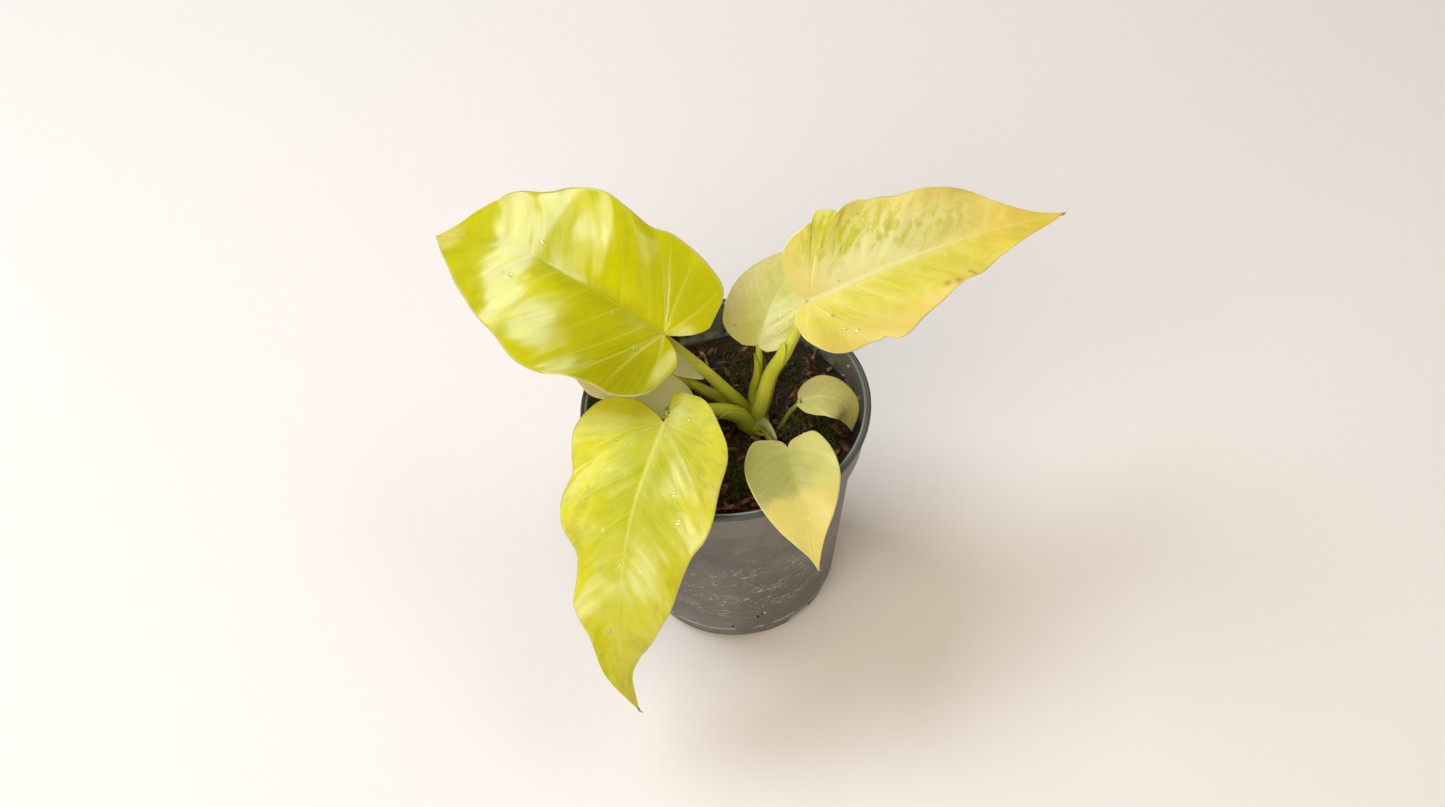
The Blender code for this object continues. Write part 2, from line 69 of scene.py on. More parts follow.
# Camera, fitted to the photograph
PHOTO_SIZE = (1445, 807)
LENS = 50.0
SENSOR = 36.0
CAMERA_PITCH = 49.05
CAMERA_ROLL = -4.397
CAMERA_DISTANCE = 826.5
RIM_CENTRE_PIXEL = (725.24, 403.23)

# Pot
POT_HEIGHT = 108.6
POT_STEPS = 192
FOOT_RADIUS = 41.4
SLOT_AZIMUTHS = (-52.0, 68.0, 188.0)
SLOT_WIDTH = 14.5
SLOT_TOP_SHARE = 0.8
SLOT_HEIGHT = 6.0
SLOT_DEPTH = 9.0
SLOT_ROUND = 0.8
ARCH_AZIMUTHS = (-93.0, 27.0, 147.0)
ARCH_HALF_WIDTH = 13.0
ARCH_RISE = 0.9
FOOT_RING_TOP = 0.75
FOOT_RING_RADIUS = 35.6
# The pot's section as (radius, height), from the middle of its underside round its wall to the
# middle of its inner floor
POT_PROFILE = (
    (0, 0.8), (34.8, 0.8), (35.5, 0.6), (35.9, 0.15), (36.3, 0), (40.2, 0), (40.9, 0.2),
    (41.3, 0.7), (41.45, 1.4), (42.3, 4.4), (43.2, 7.5), (43.42, 7.75), (43.5, 8.1),
    (43.42, 8.5), (43.6, 9.6), (48.6, 49), (53.45, 90.0), (53.65, 90.5), (54.0, 90.9),
    (54.6, 91.1), (55.9, 91.2), (56.5, 91.4), (56.85, 91.8), (57.0, 92.6), (58.4, 105.2),
    (58.6, 105.75), (59.2, 105.95), (59.7, 106.1), (59.95, 106.5), (60, 107.1), (59.98, 107.9),
    (59.75, 108.4), (59.3, 108.6), (58.9, 108.5), (58.6, 108.25), (58.2, 108.2), (57.9, 108.4),
    (57.6, 108.5), (57.25, 108.3), (57.05, 107.8), (56.95, 106.6), (56.3, 99), (55.5, 93.2),
    (55.3, 92.6), (54.9, 92.35), (52.9, 91.95), (52.4, 91.7), (52.15, 91.2), (47, 49),
    (41.8, 7.5), (40.3, 2.6), (39.6, 1.9), (39, 1.8), (0, 1.8))
# Where the pot's looks change, in metres: heights, and the inner wall's radius less its slope
WEAR_TOP_Z = (0.066, 0.05)
WEAR_FOOT_Z = (0.014, 0.034)
FOOT_LINE_LOW_Z = (0.0078, 0.0082)
FOOT_LINE_HIGH_Z = (0.0092, 0.0088)
LIP_Z = (0.1056, 0.1062)
INNER_FOOT_Z = (0.0915, 0.0925)
# Heights of the soil dirt and painted shade low on the inner wall
DIRT_AND_SHADE_Z = (0.099, 0.093)
COLLAR_SLOPE = 0.111
INNER_WALL = (0.0463, 0.0459)

# Soil, as in the solid model
WALL = 1.4
GAP = 0.3
COLLAR_FOOT_RADIUS = 56.8
BODY_TOP_RADIUS = 53.6
BODY_FOOT_RADIUS = 43.2
FOOT_BAND = 7.5
FLOOR = 1.8
SOIL_EDGE_Z = 93.9
SOIL_MOUND = 2.2
SOIL_BUMP = 1.3
SOIL_GRAIN = 11.0
SOIL_STEPS = 200
SOIL_RINGS = 56
# Height of the soil's flat top before it is shaped
SOIL_BLANK_Z = 110
ABOVE_SOIL_Z = 120
SHELF_BARE_Z = 89.2
SHELF_INNER_Z = 92.5
LEDGE_AZIMUTH = 118.0
LEDGE_SPREAD = 30.0
LEDGE_BLEND = 36.0
LUMP_AT = (29.0, -6.0)
LUMP_RADIUS = 7.5
LUMP_HEIGHT = 5.0
CROWN_AT = (11.5, -1.0)
CROWN_HEIGHTS = (70, 78, 86, 94, 101.6)

# Blades, as in the solid model
RIB_THICKNESS = 1.4
LOBE_SHARE = 0.36
VEIN_START_POWER = 1.2
VEIN_BOW_ALONG = 0.42
LOBE_BOW_ALONG = 0.38
VEIN_BOW_OUT = 0.6
LOBE_BOW_OUT = 0.35
LIFT_POWER = 2.6
COLUMN_POWER = 1.25
BLADE_MERGE = 0.03
CREASE = 1.8

# Stalks and sheaths: a stalk's path reaches its blade halfway and goes on as the keel
JOINT_AT = 0.5
KEEL_DEPTH = 0.6
KEEL_END = 0.3
RIB_STEPS = 100
KEEL_STEPS = 76
SHEATH_GRID = (18, 60)
SHEATH_FRAMES = 200
SHEATH_THICKNESS = 0.35
# Painted shade: stalks darken between these heights, in metres, low down by the crown under the
# blades
STALK_SHADE_Z = (0.117, 0.1)

# Each leaf's shape is the solid's. Only the petiole of leaf_heart lies lower than the solid's, so
# that the blade's lobe hides it.

LEAVES = {
    "leaf_left": dict(
        midrib=((-22.1, 0.8, 152.2), (-55.3, 24.5, 162), (-86, 54, 157.5), (-117.7, 83.7, 135.7)),
        left=((-12.5, 9.5, 0), (-9, 24, -1), (2, 32, -2), (13, 34, 0), (23, 37, 1.5),
              (34.6, 40.3, -1.5), (45.8, 40.7, -1), (57.6, 37.2, 1.5), (70.5, 34.4, 2),
              (85, 29.3, -1.5), (100.4, 21.8, -2.5), (112.2, 12.5, 0.5), (121, 6, 0),
              (127.7, 0, 0)),
        right=((-14, 12, 0), (-10.5, 27, 1), (1, 33.5, 1.5), (12, 36.7, 0), (22, 37.8, -1.5),
               (31.5, 35.9, -2.5), (43, 36.5, 0), (56, 36.6, 2.5), (69.8, 32.8, 0),
               (80.9, 27.4, -2), (91, 22.6, 0.8), (99.1, 15.9, 2), (114.2, 6.9, 0.5),
               (127.7, 0, 0)),
        roll=(-6, -17), fold=(1, 15), cup=(0.58, 0.18), notch=(1, 1),
        petiole=((9, 1, 97), (6.3, 3.7, 103), (-1.3, 3.7, 116), (-9.5, 2.3, 131)),
        radii=(3.2, 1.6)),
    "leaf_front": dict(
        midrib=((-24.8, -25.5, 129.5), (-38.5, -53.5, 114.7), (-46.3, -74.7, 93.6),
                (-50, -89.5, 64.5), (-44.6, -96.5, 32.8)),
        left=((-13.5, 2, 0), (-13, 13, 0), (-4, 23, 1), (5, 29.4, 0), (16, 30.7, -1),
              (28, 32.7, 1.5), (38.1, 31.3, 1), (46.9, 26.8, -1.5), (58, 24, -1),
              (68.1, 22, 1.5), (78.3, 17.2, 1), (87.8, 12.9, -1), (97.2, 7.4, 0),
              (106, 2.6, 0), (121.6, 0, 0)),
        right=((-5.8, 15, 0), (-3.4, 26.2, 0), (3, 32.7, 0.5), (11, 35.6, 1), (19, 33.2, 0),
               (26, 30.5, -2.5), (35, 30.8, 0), (43.9, 27.6, 2.5), (54.4, 20.6, -2),
               (64, 19.3, -2), (74, 18.4, 1.5), (84.6, 10.9, 2), (98.4, 7.4, 0),
               (110.4, 3.8, 0), (121.6, 0, 0)),
        roll=(-2, 6), fold=(5, 1), cup=(0.46, 0.43), notch=(-5, 4),
        petiole=((9, -3, 98), (4.5, -4, 106), (-4.8, -9.5, 116), (-14.5, -17.5, 123.5)),
        radii=(4.2, 1.8)),
    "leaf_right": dict(
        midrib=((36, 8.6, 156.3), (72.8, 20.5, 162.2), (109.5, 34.5, 160.8), (144.9, 50, 153.1)),
        left=((-4.3, 8, 0), (-4, 18, 0), (1.7, 25.4, -0.6), (11, 27.7, 0.8), (18, 31.5, -0.6),
              (25.7, 28.2, 1.2), (35.3, 29.6, -1), (48.3, 26.4, -1.2), (58.6, 24.6, 1.5),
              (69.6, 22.3, 1), (80, 19, -1), (89.4, 10.7, 0.5), (103, 4, 0), (116.6, 0, 0)),
        right=((-9.2, 7, 0), (-8, 16, 0), (-2, 25, 1), (6, 28.2, -1.5), (15, 29.4, 0),
               (27, 33.3, 1), (36, 29, -1.5), (46, 26, 0), (56, 22.4, 1.5), (66, 20, -1),
               (76, 15.4, -1), (88, 12.1, 1), (103, 6, 0), (116.6, 0, 0)),
        roll=(23, -3), fold=(25, 16), cup=(0.18, 0.32), notch=(1, 0),
        petiole=((11.5, -1, 96), (15.5, 0.8, 106.8), (19.9, 4, 120.2), (26.1, 3.5, 133.3)),
        radii=(4, 2.1)),
    "leaf_back": dict(
        midrib=((15, 11, 131), (22, 26, 138), (32, 41, 142), (44.7, 52.5, 143)),
        left=((-2, 6, 0), (0.5, 12, 0), (5, 16.4, 0), (12, 17.9, 1), (20, 18.3, 0),
              (28.2, 16.3, -1), (35.4, 11.2, 0), (42, 6.3, 0.5), (48, 2.2, 0), (52, 0, 0)),
        right=((-2.5, 5, 0), (0, 10, 0), (5, 13, 0), (12, 15.5, -1), (20, 16, 0),
               (28, 14.5, 1), (35.5, 10.5, 0), (42, 6, -0.5), (48, 2, 0), (52, 0, 0)),
        roll=(0, 0), fold=(8, 8), cup=(0.3, 0.3), notch=(0, 0),
        petiole=((11.3, 2.6, 97.5), (12.4, 9.5, 104), (14.5, 10.6, 113), (15.3, 10.8, 122)),
        radii=(2.3, 1.25)),
    "leaf_side": dict(
        midrib=((30, -4.9, 112.5), (40, -6.5, 115.5), (48.5, -9, 112), (51, -13, 100)),
        left=((-0.6, 3.8, 0), (1, 7, 0), (4, 9.3, 0), (8, 10.2, 0.5), (12, 10.6, 0),
              (16, 10.4, -0.5), (21, 7.7, 0), (25.5, 4.7, 0), (29, 2.4, 0), (32, 0, 0)),
        right=((-0.5, 2.7, 0), (1.5, 5.5, 0), (4.2, 8.4, 0), (8, 10.5, 0), (12, 10.5, -0.5),
               (16, 11.2, 0.5), (21, 8.8, 0), (25.5, 5, 0), (29, 1.8, 0), (32, 0, 0)),
        roll=(0, 0), fold=(8, 8), cup=(0.3, 0.3), notch=(-1, -1),
        petiole=((20.5, -5.4, 84), (20.8, -5.4, 94), (23.4, -5, 99.5), (26.3, -4.4, 105)),
        radii=(1.2, 0.95)),
    "leaf_heart": dict(
        midrib=((23.6, -29.8, 112.1), (25.6, -48.2, 111.4), (28.2, -65.5, 107.4),
                (31.2, -82.4, 99.7)),
        left=((-5, 6, 0), (-5.2, 12, 0), (2, 16, 0.5), (10, 17.9, 0.5), (18, 18, -0.5),
              (26.3, 15.5, -0.5), (34.2, 11.5, 0.5), (42, 6, 0), (49, 2.2, 0), (54.6, 0, 0)),
        right=((-5, 5, 0), (-4.8, 13, 0), (2, 17.6, -0.5), (11, 19.3, 0.5), (20, 18, 0.5),
               (29, 15, -0.5), (37, 11, -0.5), (43, 6.7, 0.5), (49, 2.2, 0), (54.6, 0, 0)),
        roll=(1, 3), fold=(12, 10), cup=(0.3, 0.32), notch=(-1, -1),
        petiole=((13.5, -3, 98), (16, -7.5, 97.6), (18.5, -15, 98.8), (21.6, -22.5, 104)),
        radii=(2.2, 1.2)),
    "leaf_low": dict(
        midrib=((-23, 12, 118), (-40, 22, 119), (-58, 32, 115), (-75, 43, 106)),
        left=((-17, 8, 0), (-13.5, 18, 0), (-3, 22.6, 0), (9.5, 22.2, 0.5), (20.2, 22.8, 0),
              (29, 21.5, -0.5), (38, 15.7, 0), (47, 9.8, 0), (56, 4, 0), (63, 0, 0)),
        right=((-15, 4.5, 0), (-10, 12, 0), (-1, 16.5, 0), (10, 18.5, 0), (21, 18.5, 0.5),
               (32, 16.5, 0), (42, 12.5, -0.5), (50, 7.5, 0), (57, 3, 0), (63, 0, 0)),
        roll=(0, 0), fold=(-8, -17), cup=(0.3, 0.3), notch=(0, 0),
        petiole=((8.5, 1.5, 98), (-0.3, 6.5, 103), (-7.5, 7.7, 108), (-16.5, 9.5, 114)),
        radii=(2.8, 1.4)),
}

# Nicks in the margins: (half, place down, depth, reach), where a negative depth is a bulge
NICKS = {
    "leaf_left": ((1, 0.83, 0.7, 0.008), (1, 0.81, -0.4, 0.01)),
    "leaf_right": ((0, 0.26, 1.3, 0.012), (0, 0.3, -0.8, 0.016), (0, 0.375, 1.2, 0.01),
                   (0, 0.42, -0.5, 0.02), (0, 0.475, 0.8, 0.012), (1, 0.34, 1.3, 0.01),
                   (1, 0.37, -0.5, 0.012)),
}

# How each blade looks. Veins are (place down the leaf, strength). Swell, ripple and quilt are
# heights in millimetres, and the channel over the midrib is (depth, width). Patches are
# (along, out, reach along, reach out, softness, raggedness, strength, colour) on the flat leaf,
# with out positive on its left. Streaks are the same without softness and raggedness: blotches
# that follow the side veins. Wax is the refractive index of the skin's clear coat, and dull places
# are patches without a colour, where the coat is thin. A rib is (strength, colour). Colours are as
# the eye sees them, 0 to 255.
BIG_VEINS = ((0.09, 0.7), (0.2, 0.8), (0.31, 1), (0.42, 0.4), (0.5, 0.3), (0.58, 0.3), (0.66, 0.3),
             (0.74, 0.3), (0.82, 0.2))
FAINT_VEINS = ((0.09, 0.05), (0.2, 0.1), (0.31, 0.25), (0.42, 0.4), (0.5, 0.3), (0.58, 0.3),
               (0.66, 0.3), (0.74, 0.2), (0.82, 0.2))
SMALL_VEINS = ((0.1, 0.5), (0.22, 0.5), (0.33, 0.5), (0.45, 0.4), (0.57, 0.4), (0.69, 0.3),
               (0.81, 0.3))
LOOKS = {
    "leaf_left": dict(
        rows=210, columns=40, veins=BIG_VEINS, swell=0.7, ripple=0.14, quilt=0.3, seed=3.0,
        slot="lime_leaf", base=(221, 213, 2), deep=(192, 191, 1), light=(232, 226, 26),
        vein=(238, 234, 96), rib=(0.45, (186, 180, 8)), fibre=0.2, streak=0.6, mottle=0.3,
        gloss=0.15, sheen=0.15, wax=1.65, channel=(0.35, 3.6), groove=0.12,
        dull=((63, -20, 4.5, 24, 0.4, 0.1, 0.9), (44, -9, 18, 8, 0.4, 0.2, 0.9),
              (52, 11, 9, 6, 0.4, 0.2, 0.8), (53, -31, 8, 9, 0.4, 0.3, 0.45),
              (99, -15, 8, 12, 0.5, 0.4, 0.6), (31, 27, 6, 9, 0.4, 0.2, 0.8)),
        patches=((121, 0, 9, 8, 0.5, 0.3, 0.8, (244, 234, 132)),
                 # Painted shade: the near lobe, which turns away from the light, darkened
                 (2, 25, 28, 17, 0.8, 0.2, 0.85, (160, 157, 2)),
                 (28, 16, 22, 14, 0.8, 0.2, 0.5, (190, 186, 1)),
                 (-2, -20, 22, 16, 0.8, 0.2, 0.5, (184, 180, 2)),
                 (60, -9, 13, 12, 0.7, 0.3, 0.6, (188, 184, 1)),
                 # Painted highlights: two pale strips along the lobes' edge beside the notch
                 (-7, -4, 4, 4, 0.5, 0.2, 0.6, (246, 242, 160)),
                 (-8, 11, 2.6, 9, 0.5, 0.1, 0.7, (244, 240, 156)),
                 (34, 2, 36, 5, 0.8, 0.4, 0.6, (176, 174, 3))),
        streaks=((60, 0, 70, 50, 0.4, (198, 196, 1)), (100, 0, 30, 40, 0.2, (238, 230, 90)))),
    "leaf_front": dict(
        rows=210, columns=40, veins=FAINT_VEINS, swell=0.6, ripple=0.3, quilt=0.08, seed=11.0,
        slot="gold_leaf", base=(232, 228, 5), deep=(192, 199, 2), light=(248, 241, 84),
        vein=(246, 236, 100), rib=(0.8, (242, 232, 104)), fibre=0.2, streak=0.5, mottle=0.35,
        gloss=0.24, sheen=0.15, wax=1.65, channel=(0.1, 2.6), groove=0.02,
        dull=((42, -18, 20, 16, 0.5, 0.4, 0.8), (8, -22, 18, 14, 0.5, 0.4, 0.8),
              (12, -4, 18, 13, 0.6, 0.3, 0.85), (60, 21, 12, 7, 0.4, 0.3, 0.9),
              (52, -3, 10, 7, 0.5, 0.3, 0.9)),
        # The pale gold patches are partly the leaf's own marbling and partly painted sheen
        patches=((14, 20, 18, 12, 0.8, 0.6, 0.4, (246, 236, 90)),
                 (40, 26, 26, 9, 0.8, 0.6, 0.5, (246, 236, 100)),
                 (24, -6, 30, 9, 0.8, 0.6, 0.7, (192, 194, 2)),
                 (24, 8, 30, 9, 0.8, 0.6, 0.65, (196, 198, 2)),
                 (74, 2, 20, 16, 0.8, 0.6, 0.2, (204, 202, 4)),
                 (65, 20, 13, 6, 0.7, 0.5, 0.65, (200, 198, 6)),
                 (52, -3, 10, 7, 0.7, 0.5, 0.6, (204, 204, 3)),
                 (-4, -24, 12, 12, 0.8, 0.6, 0.5, (214, 210, 4)),
                 (40, -26, 40, 8, 0.8, 0.6, 0.4, (246, 234, 90)),
                 (116, 0, 10, 8, 0.5, 0.3, 0.5, (222, 206, 50))),
        # The pale streaks are partly the leaf's own marbling and partly painted sheen
        streaks=((40, 18, 60, 22, 0.65, (250, 240, 108)), (50, -18, 60, 20, 0.5, (250, 238, 104)),
                 (30, 0, 60, 34, 0.75, (190, 196, 2)), (84, 0, 34, 30, 0.4, (246, 240, 110)))),
    "leaf_right": dict(
        rows=210, columns=40, veins=FAINT_VEINS, swell=0.5, ripple=0.25, quilt=0.04, seed=23.0,
        slot="cream_leaf", base=(255, 238, 112), deep=(244, 231, 64), light=(252, 242, 156),
        vein=(248, 242, 180), rib=(0.9, (254, 248, 200)), fibre=0.3, streak=0.5, mottle=0.5,
        gloss=0.28, sheen=0.15, wax=1.47, channel=(0.12, 1.4), groove=0.02,
        dull=((9, -22, 18, 14, 0.5, 0.4, 0.9),),
        # Partly the leaf's cream and partly painted sheen over the upper half
        patches=((44, 14, 46, 14, 0.9, 0.6, 0.75, (252, 246, 180)),
                 (17, 20, 12, 9, 0.8, 0.8, 0.6, (220, 218, 24)),
                 (100, 0, 36, 24, 0.5, 0.4, 0.7, (252, 224, 78)),
                 # Partly the leaf's cream and partly painted sheen in the strip above the midrib
                 (34, 7, 34, 8, 0.8, 0.3, 0.8, (255, 253, 204)),
                 (40, -32, 60, 11, 0.8, 0.4, 0.6, (242, 214, 134)),
                 (6, -22, 18, 11, 0.7, 0.3, 0.7, (220, 200, 86)),
                 (-4, 14, 10, 20, 0.8, 0.4, 0.5, (244, 224, 128)),
                 (74, 26, 44, 8, 0.8, 0.4, 0.5, (246, 224, 116)),
                 (34, -10, 34, 9, 0.9, 0.8, 0.6, (224, 217, 52)),
                 (56, 7, 14, 6, 0.8, 0.6, 0.4, (218, 208, 40))),
        streaks=((17, 20, 13, 10, 1.0, (212, 212, 3)), (36, 19, 13, 8, 0.8, (218, 216, 10)),
                 (54, 12, 22, 8, 0.75, (216, 210, 20)), (50, -10, 50, 10, 0.5, (226, 218, 40)))),
    "leaf_back": dict(
        rows=110, columns=26, veins=SMALL_VEINS, swell=0.3, ripple=0.12, quilt=0.25, seed=31.0,
        slot="pale_leaf", base=(228, 222, 120), deep=(212, 210, 96), light=(240, 232, 150),
        vein=(236, 232, 164), rib=(0.7, (236, 232, 160)), fibre=0.25, streak=0.4, mottle=0.4,
        gloss=0.24, sheen=0.6, channel=(0.1, 1.5), groove=0.08,
        patches=((14, 18, 20, 10, 0.8, 0.4, 0.7, (240, 226, 164)),
                 (30, 14, 14, 10, 0.8, 0.4, 0.5, (238, 224, 160))),
        streaks=((20, 0, 40, 30, 0.3, (206, 206, 86)),)),
    "leaf_side": dict(
        rows=90, columns=20, veins=SMALL_VEINS, swell=0.2, ripple=0.06, quilt=0.15, seed=41.0,
        slot="olive_leaf", base=(226, 220, 134), deep=(208, 206, 112), light=(234, 228, 148),
        vein=(240, 236, 170), rib=(0.8, (242, 238, 170)), fibre=0.25, streak=0.4, mottle=0.4,
        gloss=0.36, sheen=0.5, channel=(0.08, 1.2), groove=0.06,
        # Painted shade on the curled-down tip
        patches=((28, 0, 7, 14, 0.5, 0.3, 0.8, (186, 174, 98)),), streaks=()),
    "leaf_heart": dict(
        rows=110, columns=26, veins=SMALL_VEINS, swell=0.25, ripple=0.06, quilt=0.15, seed=53.0,
        slot="olive_leaf", base=(230, 222, 130), deep=(206, 204, 100), light=(238, 230, 142),
        vein=(224, 216, 122), rib=(0.15, (220, 212, 118)), fibre=0.25, streak=0.35, mottle=0.35,
        gloss=0.32, sheen=0.5, channel=(0.05, 1.4), groove=0.03,
        patches=((10, -12, 24, 16, 0.6, 0.3, 0.85, (178, 176, 92)),
                 (46, 0, 24, 30, 0.13, 0.14, 0.95, (240, 222, 124))),
        streaks=()),
    "leaf_low": dict(
        rows=100, columns=22, veins=SMALL_VEINS, swell=0.3, ripple=0.06, quilt=0.15, seed=61.0,
        # Painted light: these colours are near white, far paler than the leaf, to brighten it in
        # the shade under leaf_left
        slot="olive_leaf", base=(248, 246, 196), deep=(238, 236, 176), light=(250, 248, 206),
        vein=(250, 246, 184), rib=(0.6, (250, 246, 186)), fibre=0.2, streak=0.4, mottle=0.4,
        gloss=0.38, sheen=0.5, channel=(0.08, 1.4), groove=0.06,
        patches=((50, 10, 26, 20, 0.7, 0.3, 0.8, (246, 230, 156)),), streaks=()),
}

# Droplets, by the photograph's pixels that they cover: (x, y, radius in millimetres, stretch)
DROPLETS = {
    "leaf_left": ((543, 243, 1.1, 1.8), (503, 272, 0.7, 1.2), (511, 275, 1.0, 1.7),
                  (613, 313, 0.7, 1), (636, 349, 1.3, 1.2), (592, 359, 0.5, 1)),
    "leaf_front": ((617, 440, 0.9, 1.3), (626, 444, 1.0, 1.2), (690, 421, 0.9, 1.7),
                   (675, 494, 1.2, 1.5), (679, 523, 1.2, 1.8), (616, 509, 0.5, 1),
                   (643, 527, 0.6, 1), (589, 535, 0.5, 1), (603, 529, 0.7, 1.6),
                   (620, 565, 0.9, 1.4), (610, 632, 1.2, 1.2), (701, 483, 0.6, 1)),
    "leaf_right": ((814, 237, 0.9, 1), (857, 214, 0.5, 1), (848, 222, 0.7, 1),
                   (839, 281, 0.6, 1), (845, 329, 0.9, 1.6), (858, 331, 1.1, 1.2)),
    "leaf_back": ((735, 325, 0.7, 1), (776, 333, 0.9, 1.8), (786, 322, 0.8, 2),
                  (768, 337, 0.5, 1.8), (780, 316, 0.5, 2.4), (790, 312, 0.45, 2)),
    "leaf_heart": ((822, 465, 0.45, 1), (807, 519, 0.8, 1.3), (803, 507, 0.5, 1)),
}

# Brown specks on blades, by the photograph's pixels: (x, y, radius in millimetres)
SPECKS = {
    "leaf_right": ((971, 271, 0.9), (975, 273, 0.8), (959, 280, 1.5), (948, 283, 1.3),
                   (833, 316, 0.7), (804, 356, 0.5)),
    "leaf_side": ((853, 399, 0.45), (837, 417, 0.5)),
}

# Grains on the pot, by the photograph's pixels: (x, y, radius in millimetres)
DARK_GRAINS = ((758, 616, 0.55), (733, 626, 0.5), (762, 614, 0.3))
PALE_GRAINS = ((765, 612, 0.6), (731, 570, 0.3), (732, 624, 0.3), (763, 606, 0.3),
               (849, 366, 0.7), (844, 375, 0.55), (859, 398, 0.8), (827, 371, 0.6))

# Sheaths at the petioles' feet: (leaf, start, end, facing, half angle)
SHEATHS = (
    ("leaf_left", 0.04, 0.4, (-0.4, -0.1, 1), 100),
    ("leaf_right", 0.02, 0.4, (-1, -0.4, 0.3), 105),
    ("leaf_front", 0.02, 0.24, (0.2, -1, -0.5), 80),
    ("leaf_back", 0.02, 0.42, (-1, -0.3, 0), 115),
    ("leaf_low", 0.02, 0.36, (0.3, 0.2, 1), 105),
)

# The scale leaf and the stub of a bud beside the crown
SCALE_LEAF = ((12.8, -3, 99.4), (15.6, -6.2, 101.2), (17.8, -11.4, 102.6), (19.9, -17.1, 103.2))
SCALE_LEAF_STEPS = 40
BUD_STUB = ((12.2, -7.4, 97), (13.4, -9.2, 98), (15.2, -9.6, 98), (16.6, -8.6, 97.2))

# Dry ends of blades: (leaf, hook, reach)
LEAF_ENDS = (("leaf_left", (0.8, -1, -4.4), 1.4), ("leaf_front", (1.4, 0, -0.6), 1.2),
             ("leaf_right", (0.6, 0.8, 1), 1.6))

# Soil dressing
BARK_COUNT = 170
CRUMB_COUNT = 900
FIBRE_COUNT = 300
FIBRE_BENDS = 8
SOIL_REACH = 53
BARE_LEDGE_RADIUS = 49
CROWN_CLEAR = 8
ROOT_LIFT = 2.2
ROOT_TINT = 6
# Beds of moss: (x, y, reach, strands). The first few are the main ones.
MAIN_MOSS_BEDS = 4
MOSS_BEDS = ((5, -30, 11, 1900), (14, 32, 14, 1300), (27, 25, 10, 600), (29, -6, 8, 800),
             (43, -9, 7, 400), (-18, -30, 12, 260), (-30, 12, 14, 240), (2, -44, 8, 300),
             (30, -34, 9, 200), (-2, 22, 10, 500), (14, 16, 8, 400))
ROOT_STRANDS = (
    ((-10, -46.6), (-5.5, -45.3), (0.7, -44.6), (4.8, -42.6), (9, -41.4), (13, -42)),
    ((-3, -42.4), (-1.5, -44.5), (2.5, -46.2), (6, -46)),
    ((-9.5, 43), (-7.5, 39.5), (-7.2, 36), (-6, 31)),
    ((38, 31), (40, 35), (42.4, 37.8)),
)

# Lamps: (name, azimuth, elevation, distance, size, power, colour, whether it lights matt
# surfaces, whether it shows in glossy ones)
LAMP_TARGET = Vector((0, 0, 0.1))
LAMPS = (
    ("key", -66, 57, 1.5, (0.8, 0.8), 17.2, (0.75, 0.87, 1.0), True, False),
    ("front_fill", -150, 40, 1.5, (1.2, 0.9), 13.5, (1.0, 0.92, 0.8), True, False),
    ("window_low", -50, 32, 3.0, (2.4, 1.25), 64, (0.86, 0.91, 1.0), False, True),
    ("window_high", -80, 59.5, 3.0, (1.8, 1.0), 42, (0.86, 0.91, 1.0), False, True),
    ("left_card", -142, 23, 3.0, (1.8, 1.3), 42, (0.9, 0.94, 1.0), False, True),
    ("right_card", 88, 63, 3.0, (1.6, 1.3), 12, (1.0, 0.98, 0.94), True, True),
)


def smooth_curve(points, t):
    """A point on the smooth curve through evenly timed points, where t runs from 0 to 1."""
    spans = len(points) - 1
    k = min(int(t * spans), spans - 1)
    f = t * spans - k
    before = 2 * points[0] - points[1] if k == 0 else points[k - 1]
    after = 2 * points[-1] - points[-2] if k == spans - 1 else points[k + 2]
    a, b = points[k], points[k + 1]
    return 0.5 * (2 * a + (b - before) * f + (2 * before - 5 * a + 4 * b - after) * f * f
                  + (3 * a - before - 3 * b + after) * f * f * f)


def smooth_step(low, high, value):
    """0 below low, 1 above high, and smooth between."""
    share = min(max((value - low) / (high - low), 0.0), 1.0)
    return share * share * (3 - 2 * share)


def tone(red, green, blue, gain=1.0):
    """A colour as the eye sees it, 0 to 255, as the linear colour that a shader takes."""
    def linear(value):
        value /= 255
        return value / 12.92 if value <= 0.04045 else ((value + 0.055) / 1.055) ** 2.4
    return (linear(red) * gain, linear(green) * gain, linear(blue) * gain, 1)


# Camera

def camera_axes():
    """The camera's directions ahead, to its right and up."""
    pitch, roll = math.radians(CAMERA_PITCH), math.radians(CAMERA_ROLL)
    ahead = Vector((0, math.cos(pitch), -math.sin(pitch)))
    level = Vector((1, 0, 0))
    upright = level.cross(ahead)
    right = level * math.cos(roll) + upright * math.sin(roll)
    up = upright * math.cos(roll) - level * math.sin(roll)
    return ahead, right, up


def pixel_direction(x, y):
    """The direction from the camera through a pixel of the photograph."""
    ahead, right, up = camera_axes()
    focal = PHOTO_SIZE[0] * LENS / SENSOR
    return (ahead + right * ((x - PHOTO_SIZE[0] / 2) / focal)
            - up * ((y - PHOTO_SIZE[1] / 2) / focal))


def camera_place():
    """Where the camera stands, in millimetres."""
    return Vector((0, 0, POT_HEIGHT)) - pixel_direction(*RIM_CENTRE_PIXEL) * CAMERA_DISTANCE


def make_camera():
    ahead, right, up = camera_axes()
    data = bpy.data.cameras.new("camera")
    data.lens = LENS
    data.sensor_width = SENSOR
    data.clip_start = 0.01
    data.clip_end = 20
    camera = bpy.data.objects.new("camera", data)
    camera.matrix_world = (Matrix.Translation(camera_place() * MM)
                           @ Matrix((right, up, -ahead)).transposed().to_4x4())
    bpy.context.collection.objects.link(camera)
    bpy.context.scene.camera = camera


